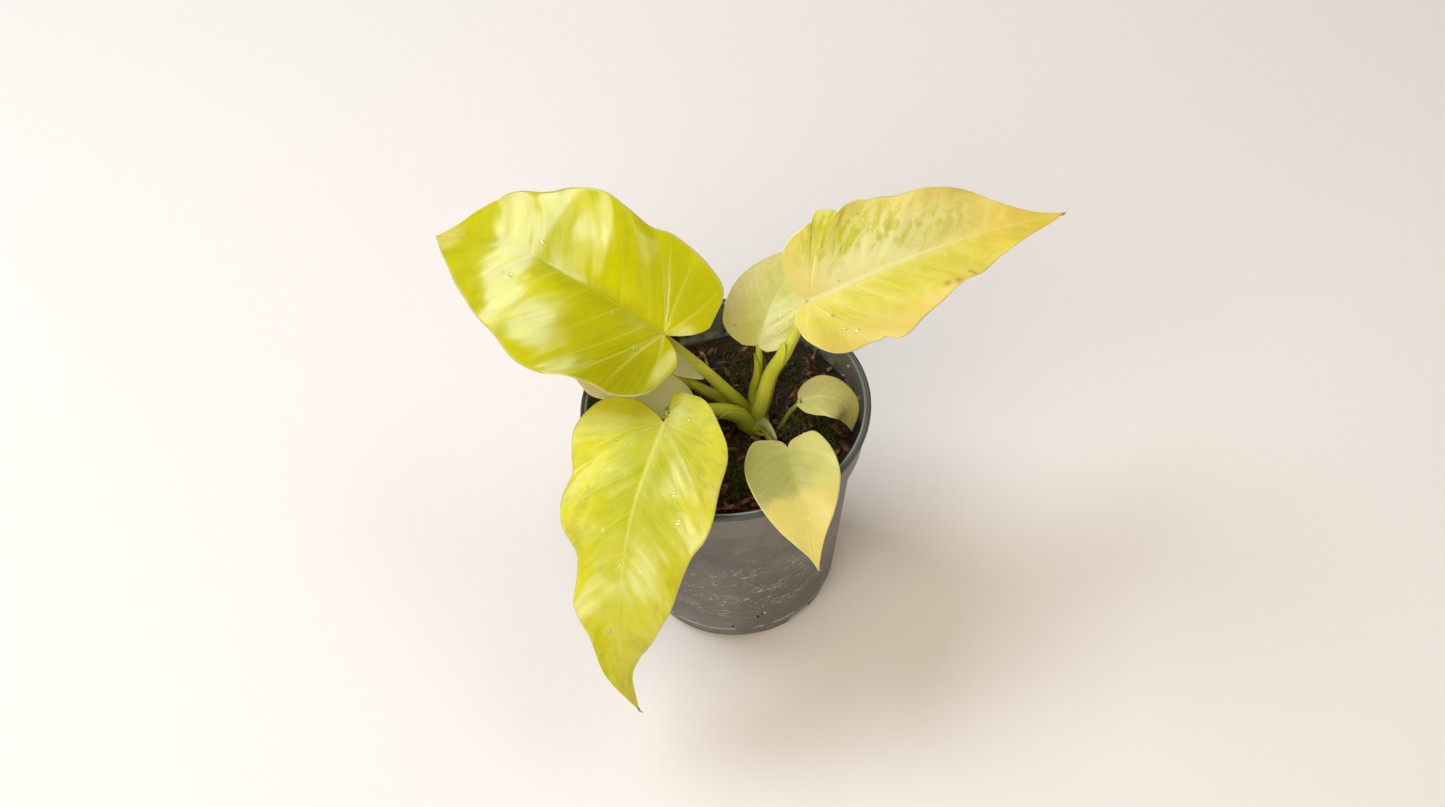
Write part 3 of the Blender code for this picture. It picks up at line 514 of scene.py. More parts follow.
def seen_spots(piece, spots):
    """Rows that start with a pixel's x and y, each with the point and normal that it shows."""
    tree = BVHTree.FromObject(piece, bpy.context.evaluated_depsgraph_get())
    for spot in spots:
        ahead = pixel_direction(*spot[:2]).normalized()
        point, normal = tree.ray_cast(camera_place() * MM, ahead)[:2]
        if point is not None:
            yield spot, point, normal


# Shader helpers

def fill(tree, node, inputs):
    """Gives a node its inputs, each a value or another node's output."""
    for key, value in inputs.items():
        if isinstance(value, bpy.types.NodeSocket):
            tree.links.new(value, node.inputs[key])
        else:
            node.inputs[key].default_value = value


def put(tree, kind, inputs=(), **settings):
    """Adds a shader node."""
    node = tree.nodes.new("ShaderNode" + kind)
    for key, value in settings.items():
        setattr(node, key, value)
    fill(tree, node, dict(inputs))
    return node


def sums(tree, operation, first, second=0.0):
    """One step of arithmetic."""
    return put(tree, "Math", {0: first, 1: second}, operation=operation).outputs[0]


def vector_sums(tree, operation, first, second):
    """One step of arithmetic with vectors."""
    return put(tree, "VectorMath", {0: first, 1: second}, operation=operation).outputs[0]


def times(tree, product, *factors):
    """The product of two or more values."""
    for factor in factors:
        product = sums(tree, "MULTIPLY", product, factor)
    return product


def split(tree, vector):
    """A vector's three values."""
    return tuple(put(tree, "SeparateXYZ", {0: vector}).outputs)


def ramp(tree, value, low, high, start=0.0, end=1.0):
    """A smooth step of a value between two limits."""
    limits = {"Value": value, "From Min": low, "From Max": high, "To Min": start, "To Max": end}
    return put(tree, "MapRange", limits, interpolation_type="SMOOTHSTEP").outputs[0]


def blend(tree, share, first, second):
    """Two colours mixed."""
    return put(tree, "Mix", {0: share, 6: first, 7: second}, data_type="RGBA").outputs[2]


def stain(tree, colour, mask, strength, shade):
    """A colour with another shade laid over it through a mask."""
    return blend(tree, times(tree, mask, strength), colour, tone(*shade))


def grain(tree, vector, scale, detail=3.0, rough=0.55, bend=0.0):
    """Plain noise around a half."""
    return put(tree, "TexNoise", {"Vector": vector, "Scale": scale, "Detail": detail,
                                  "Roughness": rough, "Distortion": bend}).outputs["Fac"]


def streaks(tree, vector, scale, detail=3.0, rough=0.6, bend=0.0):
    """Noise that is stretched by a scale of its own along each axis."""
    stretched = put(tree, "Mapping", {"Vector": vector, "Scale": scale}).outputs[0]
    return grain(tree, stretched, 1.0, detail, rough, bend)


def bump(tree, height, distance):
    """The normal of a surface with fine relief."""
    return put(tree, "Bump", {"Height": height, "Distance": distance}).outputs[0]


def object_place(tree):
    """The place on the piece, in metres."""
    return put(tree, "TexCoord").outputs["Object"]


def painted(tree, name):
    """A value that each vertex carries."""
    return put(tree, "Attribute", attribute_name=name).outputs["Fac"]


def mix_surface(tree, share, first, second):
    """Puts out a mix of two shaders."""
    mixed = put(tree, "MixShader", {0: share, 1: first.outputs[0], 2: second.outputs[0]})
    tree.links.new(mixed.outputs[0], tree.nodes["Material Output"].inputs["Surface"])


def new_group(name, vectors, values, masks):
    """An empty shader node group with its sockets, and its input and output nodes."""
    tree = bpy.data.node_groups.new(name, "ShaderNodeTree")
    for labels, side, kind in ((vectors, "INPUT", "Vector"), (values, "INPUT", "Float"),
                               (masks, "OUTPUT", "Float")):
        for label in labels:
            tree.interface.new_socket(label, in_out=side, socket_type="NodeSocket" + kind)
    return tree, tree.nodes.new("NodeGroupInput").outputs, tree.nodes.new("NodeGroupOutput")


def use_group(tree, name, inputs):
    """Places a node group in a material."""
    return put(tree, "Group", inputs, node_tree=bpy.data.node_groups[name]).outputs


def new_material(name):
    material = bpy.data.materials.new(name)
    material.use_nodes = True
    tree = material.node_tree
    return material, tree, tree.nodes["Principled BSDF"]


# Materials

def make_leaf_pattern_group():
    """Streaks, fibres and blotches that follow a blade's side veins, and its rib and margin."""
    tree, given, result = new_group(
        "Leaf pattern", ("Leaf", "Flat", "Seed"), (),
        ("Rib", "Rib Core", "Streak", "Fibre", "Mottle", "Blotch", "Margin"))
    across, down = split(tree, given["Leaf"])[:2]
    along, out = split(tree, given["Flat"])[:2]
    width = ramp(tree, down, 0.36, 1.0, 0.13, 0.025)
    reach = sums(tree, "DIVIDE", sums(tree, "ABSOLUTE", out), width)
    inner = times(tree, ramp(tree, along, -0.15, 0.1), ramp(tree, down, 0.45, 1.0, 1.0, 0.35))
    moved = vector_sums(tree, "ADD", given["Leaf"], given["Seed"])
    spread = vector_sums(tree, "ADD", given["Flat"], given["Seed"])
    streak = ramp(tree, streaks(tree, moved, (1.6, 22, 1)), 0.38, 0.68)
    smooth_lobes = ramp(tree, down, 0.12, 0.42, 0.25, 1.0)
    fill(tree, result, {
        "Rib": times(tree, ramp(tree, reach, 1.0, 0.35), inner),
        "Rib Core": times(tree, ramp(tree, reach, 0.4, 0.05), inner),
        "Streak": times(tree, streak, smooth_lobes),
        "Fibre": ramp(tree, streaks(tree, moved, (2.4, 150, 1), 2.0), 0.3, 0.7),
        "Mottle": ramp(tree, grain(tree, spread, 0.9, 4.0, 0.6, 0.6), 0.42, 0.66),
        "Blotch": ramp(tree, streaks(tree, moved, (4.4, 40, 1), 4.0, 0.62, 0.5), 0.44, 0.62),
        "Margin": ramp(tree, sums(tree, "ABSOLUTE", across), 0.965, 0.998)})


def make_patch_group():
    """A soft ragged patch round a place on the flat leaf."""
    tree, given, result = new_group("Soft patch", ("Flat", "Centre", "Reach"),
                                    ("Softness", "Raggedness"), ("Mask",))
    away = vector_sums(tree, "SUBTRACT", given["Flat"], given["Centre"])
    scaled = vector_sums(tree, "DIVIDE", away, given["Reach"])
    length = put(tree, "VectorMath", {0: scaled}, operation="LENGTH").outputs["Value"]
    rough = sums(tree, "SUBTRACT", grain(tree, given["Flat"], 1.3, 4.0, 0.6), 0.5)
    ragged = times(tree, rough, times(tree, given["Raggedness"], 3.0))
    low = sums(tree, "SUBTRACT", 1.0, given["Softness"])
    high = sums(tree, "ADD", 1.0, given["Softness"])
    fill(tree, result, {"Mask": ramp(tree, sums(tree, "ADD", length, ragged), high, low)})


def soft_patch(tree, flat, along, out, reach_along, reach_out, soft, ragged):
    """The mask of one patch, from millimetres on the flat leaf."""
    return use_group(tree, "Soft patch", {
        "Flat": flat, "Centre": (along / UV_MM, out / UV_MM, 0),
        "Reach": (reach_along / UV_MM, reach_out / UV_MM, 1),
        "Softness": soft, "Raggedness": ragged})["Mask"]


def leaf_material(name, look, under=False):
    """The upper side of a blade, or its paler and duller underside."""
    material, tree, shader = new_material(name + ("_under" if under else "_upper"))
    flat = put(tree, "UVMap", uv_map="flat").outputs[0]
    seed = look["seed"]
    pattern = use_group(tree, "Leaf pattern",
                        {"Leaf": put(tree, "UVMap", uv_map="leaf").outputs[0], "Flat": flat,
                         "Seed": (seed, seed * 1.7, seed * 0.6)})
    colour = stain(tree, tone(*look["base"]), pattern["Streak"], look["streak"], look["deep"])
    colour = stain(tree, colour, pattern["Mottle"], look["mottle"], look["light"])
    for *spot, strength, shade in look["patches"]:
        colour = stain(tree, colour, soft_patch(tree, flat, *spot), strength, shade)
    for *spot, strength, shade in look["streaks"]:
        mask = times(tree, soft_patch(tree, flat, *spot, 0.7, 0.4), pattern["Blotch"])
        colour = stain(tree, colour, mask, strength, shade)
    rib_strength, rib_colour = look["rib"]
    for mask, strength, shade in ((pattern["Fibre"], look["fibre"], look["light"]),
                                  (painted(tree, "vein"), 0.8, look["vein"]),
                                  (pattern["Rib"], rib_strength, rib_colour),
                                  (pattern["Rib Core"], 0.3, look["vein"]),
                                  (pattern["Margin"], 0.7, (240, 232, 160)),
                                  (painted(tree, "speck"), 1.0, (200, 124, 50))):
        colour = stain(tree, colour, mask, strength, shade)
    if under:
        colour = blend(tree, 0.4, colour, tone(214, 214, 150))
    rough = 0.5 if under else look["gloss"]
    relief = sums(tree, "ADD", times(tree, pattern["Fibre"], 0.1),
                  times(tree, pattern["Streak"], 0.5))
    fill(tree, shader, {
        "Base Color": colour,
        "Roughness": ramp(tree, pattern["Mottle"], 0.0, 1.0, rough, rough + 0.08),
        "Specular IOR Level": 0.4 if under else look["sheen"],
        "Normal": bump(tree, relief, 0.00008)})
    if "wax" in look and not under:
        wax = ramp(tree, pattern["Fibre"], 0.0, 1.0, 0.75, 1.0)
        for *spot, strength in look["dull"]:
            thinned = times(tree, soft_patch(tree, flat, *spot), strength)
            wax = times(tree, wax, sums(tree, "SUBTRACT", 1.0, thinned))
        fill(tree, shader, {"Coat Weight": wax, "Coat IOR": look["wax"],
                            "Coat Roughness": look["gloss"] + 0.03})
    mix_surface(tree, 0.4, shader, put(tree, "BsdfTranslucent", {"Color": colour}))
    return material


def make_margin_material():
    """The thin bright edge of every blade."""
    material, tree, shader = new_material("leaf_margin")
    spot = ramp(tree, grain(tree, object_place(tree), 90.0), 0.4, 0.7)
    fill(tree, shader, {"Base Color": blend(tree, spot, tone(232, 226, 142), tone(210, 204, 96)),
                        "Roughness": 0.4})
    return material


def make_stem_material(name, base, pale, deep):
    """Smooth stalk with fine streaks along its length, and painted shade that darkens it low down
    by the crown.
    """
    material, tree, shader = new_material(name)
    place = object_place(tree)
    streak = streaks(tree, put(tree, "UVMap", uv_map="stem").outputs[0], (16, 0.7, 1))
    blotch = ramp(tree, grain(tree, place, 55.0, 3.0, 0.6), 0.45, 0.7, 0.0, 0.7)
    colour = blend(tree, ramp(tree, streak, 0.4, 0.7), tone(*base), tone(*deep))
    colour = blend(tree, blotch, colour, tone(*pale))
    # Painted shade: darker low down by the crown, where the blades shade the stalks
    foot = ramp(tree, split(tree, place)[2], *STALK_SHADE_Z, 0.0, 0.8)
    colour = blend(tree, foot, colour, tone(*deep, 0.45))
    fill(tree, shader, {"Base Color": colour, "Roughness": 0.36,
                        "Normal": bump(tree, streak, 0.00012)})
    mix_surface(tree, 0.08, shader, put(tree, "BsdfTranslucent", {"Color": colour}))
    return material


def make_pot_material():
    """Grey recycled plastic with pale arcs of wear, a darker lip, a dusty inside, and soil dirt
    with painted shade low on the inner wall.
    """
    material, tree, shader = new_material("pot_plastic")
    place = object_place(tree)
    x, y, z = split(tree, place)
    radius = sums(tree, "SQRT", sums(tree, "ADD", times(tree, x, x), times(tree, y, y)))
    turn = sums(tree, "ARCTAN2", y, x)
    round_it = put(tree, "CombineXYZ", {0: turn, 1: z, 2: radius}).outputs[0]
    cloud = grain(tree, place, 28.0, 4.0, 0.6)
    arcs = streaks(tree, round_it, (22, 1100, 500), 4.0, 0.7, 0.4)
    beds = streaks(tree, round_it, (4.4, 130, 40))
    wear = times(tree, ramp(tree, arcs, 0.52, 0.62), ramp(tree, beds, 0.46, 0.6),
                 ramp(tree, z, *WEAR_TOP_Z, 0.4, 1.0), ramp(tree, z, *WEAR_FOOT_Z, 0.3, 1.0))
    specks = ramp(tree, grain(tree, place, 900.0, 2.0, 0.5), 0.72, 0.8)
    foot_line = times(tree, ramp(tree, z, *FOOT_LINE_LOW_Z), ramp(tree, z, *FOOT_LINE_HIGH_Z),
                      ramp(tree, beds, 0.4, 0.5))
    from_slope = sums(tree, "SUBTRACT", radius, times(tree, z, COLLAR_SLOPE))
    inside = times(tree, ramp(tree, from_slope, *INNER_WALL), ramp(tree, z, *INNER_FOOT_Z))
    dirt_and_shade_noise = grain(tree, put(tree, "Mapping", {"Vector": place, "Scale": (1, 1, 0.5)}).outputs[0],
                 160.0, 4.0, 0.65)
    # Soil dirt and painted shade: dark and brown low on the inner wall, just above the soil
    low_dirt_and_shade = times(tree, inside, ramp(tree, z, *DIRT_AND_SHADE_Z), ramp(tree, dirt_and_shade_noise, 0.45, 0.6))
    colour = blend(tree, ramp(tree, cloud, 0.35, 0.68), tone(114, 110, 103), tone(96, 94, 89))
    for mask, strength, shade in ((wear, 0.85, (196, 193, 185)), (specks, 0.5, (180, 178, 170)),
                                  (ramp(tree, z, *LIP_Z), 1.0, (72, 76, 70)),
                                  (foot_line, 0.8, (176, 174, 168)),
                                  (inside, 0.85, (132, 134, 128)), (low_dirt_and_shade, 1.0, (44, 38, 30))):
        colour = stain(tree, colour, mask, strength, shade)
    skin = sums(tree, "ADD", times(tree, grain(tree, place, 700.0, 3.0), 0.3),
                times(tree, wear, 0.5))
    fill(tree, shader, {"Base Color": colour, "Normal": bump(tree, skin, 0.0001),
                        "Roughness": ramp(tree, cloud, 0.3, 0.7, 0.42, 0.56)})
    return material


def make_earth_material(name, dark, middle, pale, scale):
    """Crumbly matter in three browns, which each grain's own tint moves lighter or darker."""
    material, tree, shader = new_material(name)
    crumb = grain(tree, object_place(tree), scale, 5.0, 0.7)
    colour = blend(tree, ramp(tree, crumb, 0.35, 0.6), tone(*dark), tone(*middle))
    colour = stain(tree, colour, ramp(tree, crumb, 0.5, 0.75), painted(tree, "tint"), pale)
    fill(tree, shader, {"Base Color": colour, "Roughness": 0.85,
                        "Normal": bump(tree, crumb, 0.0006)})
    return material


def make_water_material():
    """Clear water, which casts no shadow."""
    material, tree, shader = new_material("water")
    fill(tree, shader, {"Base Color": (0.74, 0.76, 0.74, 1), "Roughness": 0.02, "IOR": 1.33,
                        "Coat Weight": 1.0, "Coat Roughness": 0.02, "Transmission Weight": 1.0})
    shadow = put(tree, "LightPath").outputs["Is Shadow Ray"]
    mix_surface(tree, shadow, shader, put(tree, "BsdfTransparent"))
    return material


def make_floor_material():
    """Matt warm white paper."""
    material, tree, shader = new_material("floor_paper")
    cloud = grain(tree, object_place(tree), 1.2, 2.0)
    colour = blend(tree, cloud, (0.815, 0.755, 0.72, 1), (0.8, 0.74, 0.705, 1))
    fill(tree, shader, {"Base Color": colour, "Roughness": 0.8, "Specular IOR Level": 0.15})
    return material


# Mesh helpers

def finish(name, bm, materials, slot=None, nodes=(), sharp=40, outward=False):
    """Turns a mesh in millimetres into a named piece in metres that rides on the plant."""
    if outward:
        bmesh.ops.recalc_face_normals(bm, faces=bm.faces)
    bmesh.ops.scale(bm, vec=(MM, MM, MM), verts=bm.verts)
    mesh = bpy.data.meshes.new(name)
    bm.to_mesh(mesh)
    bm.free()
    mesh.shade_smooth()
    mesh.set_sharp_from_angle(angle=math.radians(sharp))
    obj = bpy.data.objects.new(name, mesh)
    bpy.context.collection.objects.link(obj)
    for material in materials:
        mesh.materials.append(material)
    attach(obj, "root")
    if nodes:
        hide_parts(*nodes)
    return obj


def add_grid(bm, columns, rows):
    """Adds a flat grid, with each vertex's place across it, -1 to 1, and along it, 0 to 1."""
    verts = bmesh.ops.create_grid(bm, x_segments=columns, y_segments=rows, size=1)["verts"]
    return {v: (v.co.x, (v.co.y + 1) / 2) for v in verts}


def write_uv(layer, places):
    """Writes a UV map over the faces round some vertices."""
    for face in {f for v in places for f in v.link_faces}:
        for loop in face.loops:
            loop[layer].uv = places[loop.vert]


def roughen(verts, scale, depth):
    """Moves vertices by noise."""
    for v in verts:
        v.co += noise.noise_vector(v.co * scale) * depth


def paint(verts, layer, value):
    """Gives vertices a value."""
    for v in verts:
        v[layer] = value


def thicken(piece, thickness, **settings):
    """Gives a thin sheet its thickness in millimetres."""
    solidify = piece.modifiers.new("thickness", "SOLIDIFY")
    solidify.thickness = thickness * MM
    for key, value in settings.items():
        setattr(solidify, key, value)


def turned(profile, steps):
    """A closed solid turned from (radius, height) points that start and end on the axis."""
    bm = bmesh.new()
    points = [bm.verts.new((r, 0, z)) for r, z in profile]
    edges = [bm.edges.new(pair) for pair in zip(points, points[1:])]
    bmesh.ops.spin(bm, geom=points + edges, cent=(0, 0, 0), axis=(0, 0, 1), angle=2 * math.pi,
                   steps=steps, use_merge=True)
    bmesh.ops.remove_doubles(bm, verts=bm.verts, dist=SEAM)
    bmesh.ops.recalc_face_normals(bm, faces=bm.faces)
    return bm


def path_frames(path, rings, facing):
    """Point, direction, facing side and third axis at even steps along a smooth path."""
    side = Vector(facing)
    frames = []
    for k in range(rings + 1):
        t = k / rings
        ahead = smooth_curve(path, min(t + CURVE_STEP, 1))
        behind = smooth_curve(path, max(t - CURVE_STEP, 0))
        direction = (ahead - behind).normalized()
        side = (side - direction * side.dot(direction)).normalized()
        frames.append((smooth_curve(path, t), direction, side, direction.cross(side)))
    return frames


def add_tube(bm, path, radius, sides, rings, facing=(0, 0, 1)):
    """Adds a closed tube along a path; radius takes (t, angle from the facing side)."""
    frames = path_frames(path, rings, facing)
    places = {v: ((x + 1) / 2, t) for v, (x, t) in add_grid(bm, sides, rings).items()}
    stem_uv = bm.loops.layers.uv.get("stem")
    if stem_uv:
        length = sum((b[0] - a[0]).length for a, b in zip(frames, frames[1:])) / UV_MM
        write_uv(stem_uv, {v: (turn, t * length) for v, (turn, t) in places.items()})
    for v, (turn, t) in places.items():
        point, direction, side, other = frames[round(t * rings)]
        angle = 2 * math.pi * turn
        v.co = point + (side * math.cos(angle) + other * math.sin(angle)) * radius(t, angle)
    bmesh.ops.remove_doubles(bm, verts=list(places), dist=SEAM)
    left = [v for v in places if v.is_valid]
    open_edges = list({e for v in left for e in v.link_edges if e.is_boundary})
    if open_edges:
        bmesh.ops.holes_fill(bm, edges=open_edges, sides=0)
    return left


# Blades

class Blade:
    """The curved sheet of one leaf."""

    def __init__(self, leaf):
        self.midrib = [Vector(p) for p in leaf["midrib"]]
        self.halves = [[Vector(p) for p in leaf[side]] for side in ("left", "right")]
        self.length = self.halves[0][-1].x
        self.roll, self.fold, self.cup = ([math.radians(angle) for angle in leaf[key]]
                                          for key in ("roll", "fold", "cup"))
        self.notch = leaf["notch"]

    def rib_frame(self, along):
        """Point, direction, sideways and upward axes on the midrib at a length along it."""
        t = along / self.length
        inside = min(max(t, 0.0), 1.0)
        low, high = max(inside - CURVE_STEP, 0.0), min(inside + CURVE_STEP, 1.0)
        direction = (smooth_curve(self.midrib, high) - smooth_curve(self.midrib, low)).normalized()
        point = smooth_curve(self.midrib, inside) + direction * (t - inside) * self.length
        level = Vector((0, 0, 1)).cross(direction).normalized()
        up = direction.cross(level)
        roll = self.roll[0] + (self.roll[1] - self.roll[0]) * inside
        sideways = level * math.cos(roll) + up * math.sin(roll)
        return point, direction, sideways, direction.cross(sideways)

    def place(self, along, out, lift, half):
        """A point of the sheet from its place on the flat leaf, and the sheet's normal there."""
        point, direction, sideways, up = self.rib_frame(along)
        fold, cup = self.fold[half], self.cup[half]
        bend = fold - cup * out
        reach = (math.sin(fold) - math.sin(bend)) / cup
        rise = (math.cos(bend) - math.cos(fold)) / cup
        rise += math.tan(sum(self.fold) / 2) * (math.hypot(out, CREASE) - out)
        sign = 1 if half == 0 else -1
        tilt = bend * smooth_step(0, CREASE, out)
        normal = up * math.cos(tilt) - sideways * sign * math.sin(tilt)
        return point + sideways * sign * reach + up * (rise + lift), normal

    def flat(self, across, down):
        """Along, out and lift on the flat leaf: across is -1 to 1, down is 0 to 1 to the tip."""
        half = 0 if across >= 0 else 1
        share = abs(across)
        margin = smooth_curve(self.halves[half], down)
        fan = max(down - LOBE_SHARE, 0.0) / (1 - LOBE_SHARE)
        start = self.length * fan ** VEIN_START_POWER
        lobe = max(1 - down / LOBE_SHARE, 0.0)
        bow_along = start + (margin.x - start) * (VEIN_BOW_ALONG + LOBE_BOW_ALONG * lobe)
        bow_out = margin.y * (VEIN_BOW_OUT - LOBE_BOW_OUT * lobe) + self.notch[half] * lobe
        bow = 2 * share * (1 - share)
        along = (1 - share) ** 2 * start + bow * bow_along + share ** 2 * margin.x
        out = bow * bow_out + share ** 2 * margin.y
        return along, max(out, 0.0), margin.z * share ** LIFT_POWER, half


def nearest_vein(blade, across, down, veins):
    """Distance on the flat leaf to the nearest main side vein, and that vein's strength."""
    place, strength = min(veins, key=lambda vein: abs(vein[0] - down))
    along, out = blade.flat(across, down)[:2]
    vein_along, vein_out = blade.flat(across, place)[:2]
    return math.hypot(along - vein_along, out - vein_out), strength


def relief(look, across, down, along, out, gap, strength):
    """How far a point of a blade stands above its smooth sheet, out being positive."""
    share = abs(across)
    side = 1 if across >= 0 else -1
    seed = look["seed"]
    clear = smooth_step(0, 0.25, share)
    wavy = clear * (0.1 + 0.9 * smooth_step(0.14, 0.45, down))
    rib_depth, rib_width = look["channel"]
    height = -rib_depth * (1.1 - down) * math.exp(-(out / (rib_width * (1.15 - down))) ** 2)
    height -= look["groove"] * strength * math.exp(-(gap / 0.8) ** 2) * (1 - share * share)
    height += look["quilt"] * clear * (1 - share) * (1 - math.exp(-(gap / 4) ** 2))
    height += look["ripple"] * wavy * noise.noise(Vector((across * 2, down * 34, seed)))
    height += look["swell"] * clear * noise.noise(Vector((along / 21, side * out / 16, seed + 7)))
    return height


def make_blade(name, leaf, look, margin_material):
    """One blade: a fine grid from margin to margin, with its veins, waves and thickness."""
    blade = Blade(leaf)
    rows, columns = look["rows"], look["columns"]
    veins = [(round(place * rows) / rows, strength) for place, strength in look["veins"]]
    bm = bmesh.new()
    weight = bm.verts.layers.deform.verify()
    vein_layer = bm.verts.layers.float.new("vein")
    bm.verts.layers.float.new("speck")
    leaf_uv = bm.loops.layers.uv.new("leaf")
    flat_uv = bm.loops.layers.uv.new("flat")
    leaf_places, flat_places = {}, {}
    for v, (x, down) in add_grid(bm, 2 * columns, rows).items():
        across = math.copysign(abs(x) ** COLUMN_POWER, -x)
        share = abs(across)
        along, out, lift, half = blade.flat(across, down)
        nick = sum(depth * math.exp(-((down - at) / reach) ** 2)
                   for cut_half, at, depth, reach in NICKS.get(name, ()) if cut_half == half)
        out = max(out - nick * share ** 5, 0)
        gap, strength = nearest_vein(blade, across, down, veins)
        height = relief(look, across, down, along, out, gap, strength)
        point, normal = blade.place(along, out, lift, half)
        leaf_places[v] = (across, down)
        flat_places[v] = (along / UV_MM, (1 if half == 0 else -1) * out / UV_MM)
        fade = smooth_step(0, 0.04, share) * (1 - share) ** 0.6
        v[vein_layer] = strength * fade * math.exp(-(gap / 0.55) ** 2)
        rib = math.exp(-(out / 1.4) ** 2) * (1 - down)
        v[weight][0] = min(0.34 + 0.66 * rib + 0.12 * v[vein_layer], 1) * (1 - 0.35 * share ** 6)
        v.co = point + normal * height
    write_uv(leaf_uv, leaf_places)
    write_uv(flat_uv, flat_places)
    bmesh.ops.remove_doubles(bm, verts=bm.verts, dist=BLADE_MERGE)
    bmesh.ops.dissolve_degenerate(bm, edges=bm.edges, dist=SEAM)
    materials = [leaf_material(name, look), leaf_material(name, look, under=True),
                 margin_material]
    piece = finish(name + "_blade", bm, materials, look["slot"], (name,), 80)
    piece.vertex_groups.new(name="thick")
    thicken(piece, RIB_THICKNESS, offset=-1, vertex_group="thick", material_offset=1,
            material_offset_rim=2)
    return piece


def mark_specks(blade, specks):
    """Darkens a blade round the places where the photograph's pixels meet it."""
    for (x, y, radius), point, normal in seen_spots(blade, specks):
        for vertex, value in zip(blade.data.vertices, blade.data.attributes["speck"].data):
            away = (vertex.co - point).length / (radius * MM)
            if away < 2.5:
                value.value = max(value.value, 0.7 * math.exp(-away * away))


def make_blades():
    margin = make_margin_material()
    blades = {name: make_blade(name, leaf, LOOKS[name], margin) for name, leaf in LEAVES.items()}
    bpy.context.view_layer.update()
    for name, specks in SPECKS.items():
        mark_specks(blades[name], specks)
    return blades


def make_droplets(blades):
    """Drops of water that lie on the blades."""
    bm = bmesh.new()
    for name, drops in DROPLETS.items():
        for (x, y, radius, longer), point, normal in seen_spots(blades[name], drops):
            centre = Matrix.Translation(point / MM + normal * radius * 0.12)
            turn = normal.to_track_quat("Z", "Y").to_matrix().to_4x4()
            spin = Matrix.Rotation(0.6 * x + y, 4, "Z")
            size = Matrix.Diagonal((radius * longer, radius, radius * 0.36, 1))
            made = bmesh.ops.create_uvsphere(bm, u_segments=16, v_segments=10, radius=1,
                                             matrix=centre @ turn @ spin @ size)
            roughen(made["verts"], 1 / 1.3, 0.06 * radius)
    finish("droplets", bm, [make_water_material()])


# Stems

def new_stem_mesh():
    """An empty mesh with the UV map that runs along stems."""
    bm = bmesh.new()
    return bm, bm.loops.layers.uv.new("stem")


def stalk_path(name):
    """A petiole's path to its blade, and on along the blade's underside as its keel."""
    leaf = LEAVES[name]
    blade = Blade(leaf)
    path = [Vector(p) for p in leaf["petiole"]]
    joint = leaf["radii"][1]
    droop = joint * math.sin(max(-min(blade.fold), 0))
    for share, depth in ((0.02, joint + 0.25 + droop), (0.16, 1.4), (0.32, 1), (0.5, 0.75),
                         (0.68, 0.6)):
        point, direction, sideways, up = blade.rib_frame(share * blade.length)
        path.append(point - up * depth)
    return path


def add_stalk(bm, name):
    """A petiole with a shallow channel on its upper side, which thins into the keel."""
    foot, joint = LEAVES[name]["radii"]
    path = stalk_path(name)

    def radius(t, angle):
        if t < JOINT_AT:
            size = foot + (joint - foot) * (t / JOINT_AT) ** 0.8
        else:
            size = KEEL_END + (joint - KEEL_END) * (1 - (t - JOINT_AT) / (1 - JOINT_AT)) ** 2.2
        groove = 0.16 * math.exp(-((math.pi - abs(angle - math.pi)) / 0.5) ** 2)
        wobble = 0.03 * noise.noise(Vector((t * 9, math.cos(angle), len(name))))
        return size * (1 - groove * smooth_step(0.1, 0.3, t) + wobble)

    facing = Vector((0, 0, 1)) - (path[4] - path[0]).normalized() * 0.3
    blade = Blade(LEAVES[name])
    ribs = [blade.rib_frame(blade.length * k / RIB_STEPS) for k in range(KEEL_STEPS)]
    for v in add_tube(bm, path, radius, 20, 96, facing):
        point, direction, sideways, up = min(ribs, key=lambda rib: (rib[0] - v.co).length_squared)
        above = (v.co - point).dot(up) + KEEL_DEPTH
        if above > 0 and abs((v.co - point).dot(direction)) < blade.length / RIB_STEPS:
            v.co -= up * above


def add_sheath(bm, stem_uv, name, start, end, facing, half_angle):
    """A thin sheath that clasps the foot of a petiole and ends in a blunt free tip."""
    foot, joint = LEAVES[name]["radii"]
    frames = path_frames(stalk_path(name), SHEATH_FRAMES, facing)
    places = add_grid(bm, *SHEATH_GRID)
    write_uv(stem_uv, places)
    for v, (x, s) in places.items():
        t = start + (end - start) * s
        side, other = frames[round(t * SHEATH_FRAMES)][2:]
        lower = int(t * SHEATH_FRAMES)
        upper = min(lower + 1, SHEATH_FRAMES)
        point = frames[lower][0].lerp(frames[upper][0], t * SHEATH_FRAMES - lower)
        size = foot + (joint - foot) * (t / JOINT_AT) ** 0.8
        narrow = math.sqrt(max(1 - max((s - 0.72) / 0.28, 0) ** 2.2, 0.004))
        angle = x * math.radians(half_angle) * narrow * (1 - 0.25 * s)
        away = 0.2 + 0.2 * abs(x) ** 3 + 0.4 * smooth_step(0.7, 1, s)
        v.co = point + (side * math.cos(angle) + other * math.sin(angle)) * (size + away)


def make_scale_leaf():
    """The pale pointed scale leaf that stands at the crown's front right."""
    bm, stem_uv = new_stem_mesh()
    frames = path_frames([Vector(p) for p in SCALE_LEAF], SCALE_LEAF_STEPS, (0, -0.65, 0.75))
    places = add_grid(bm, 12, SCALE_LEAF_STEPS)
    write_uv(stem_uv, places)
    for v, (x, s) in places.items():
        point, direction, side, other = frames[round(s * SCALE_LEAF_STEPS)]
        width = 2.5 * math.sqrt(max(1 - s ** 1.3, 0.001)) * (0.8 + 0.5 * s * (1 - s))
        v.co = point + other * width * x + side * 0.9 * (1 - x * x) * (1 - 0.6 * s)
    pale = make_stem_material("scale_leaf_pale", (214, 212, 148), (228, 224, 170),
                              (196, 194, 116))
    thicken(finish("scale_leaf", bm, [pale], "stem", (), 60, True), SHEATH_THICKNESS, offset=0)


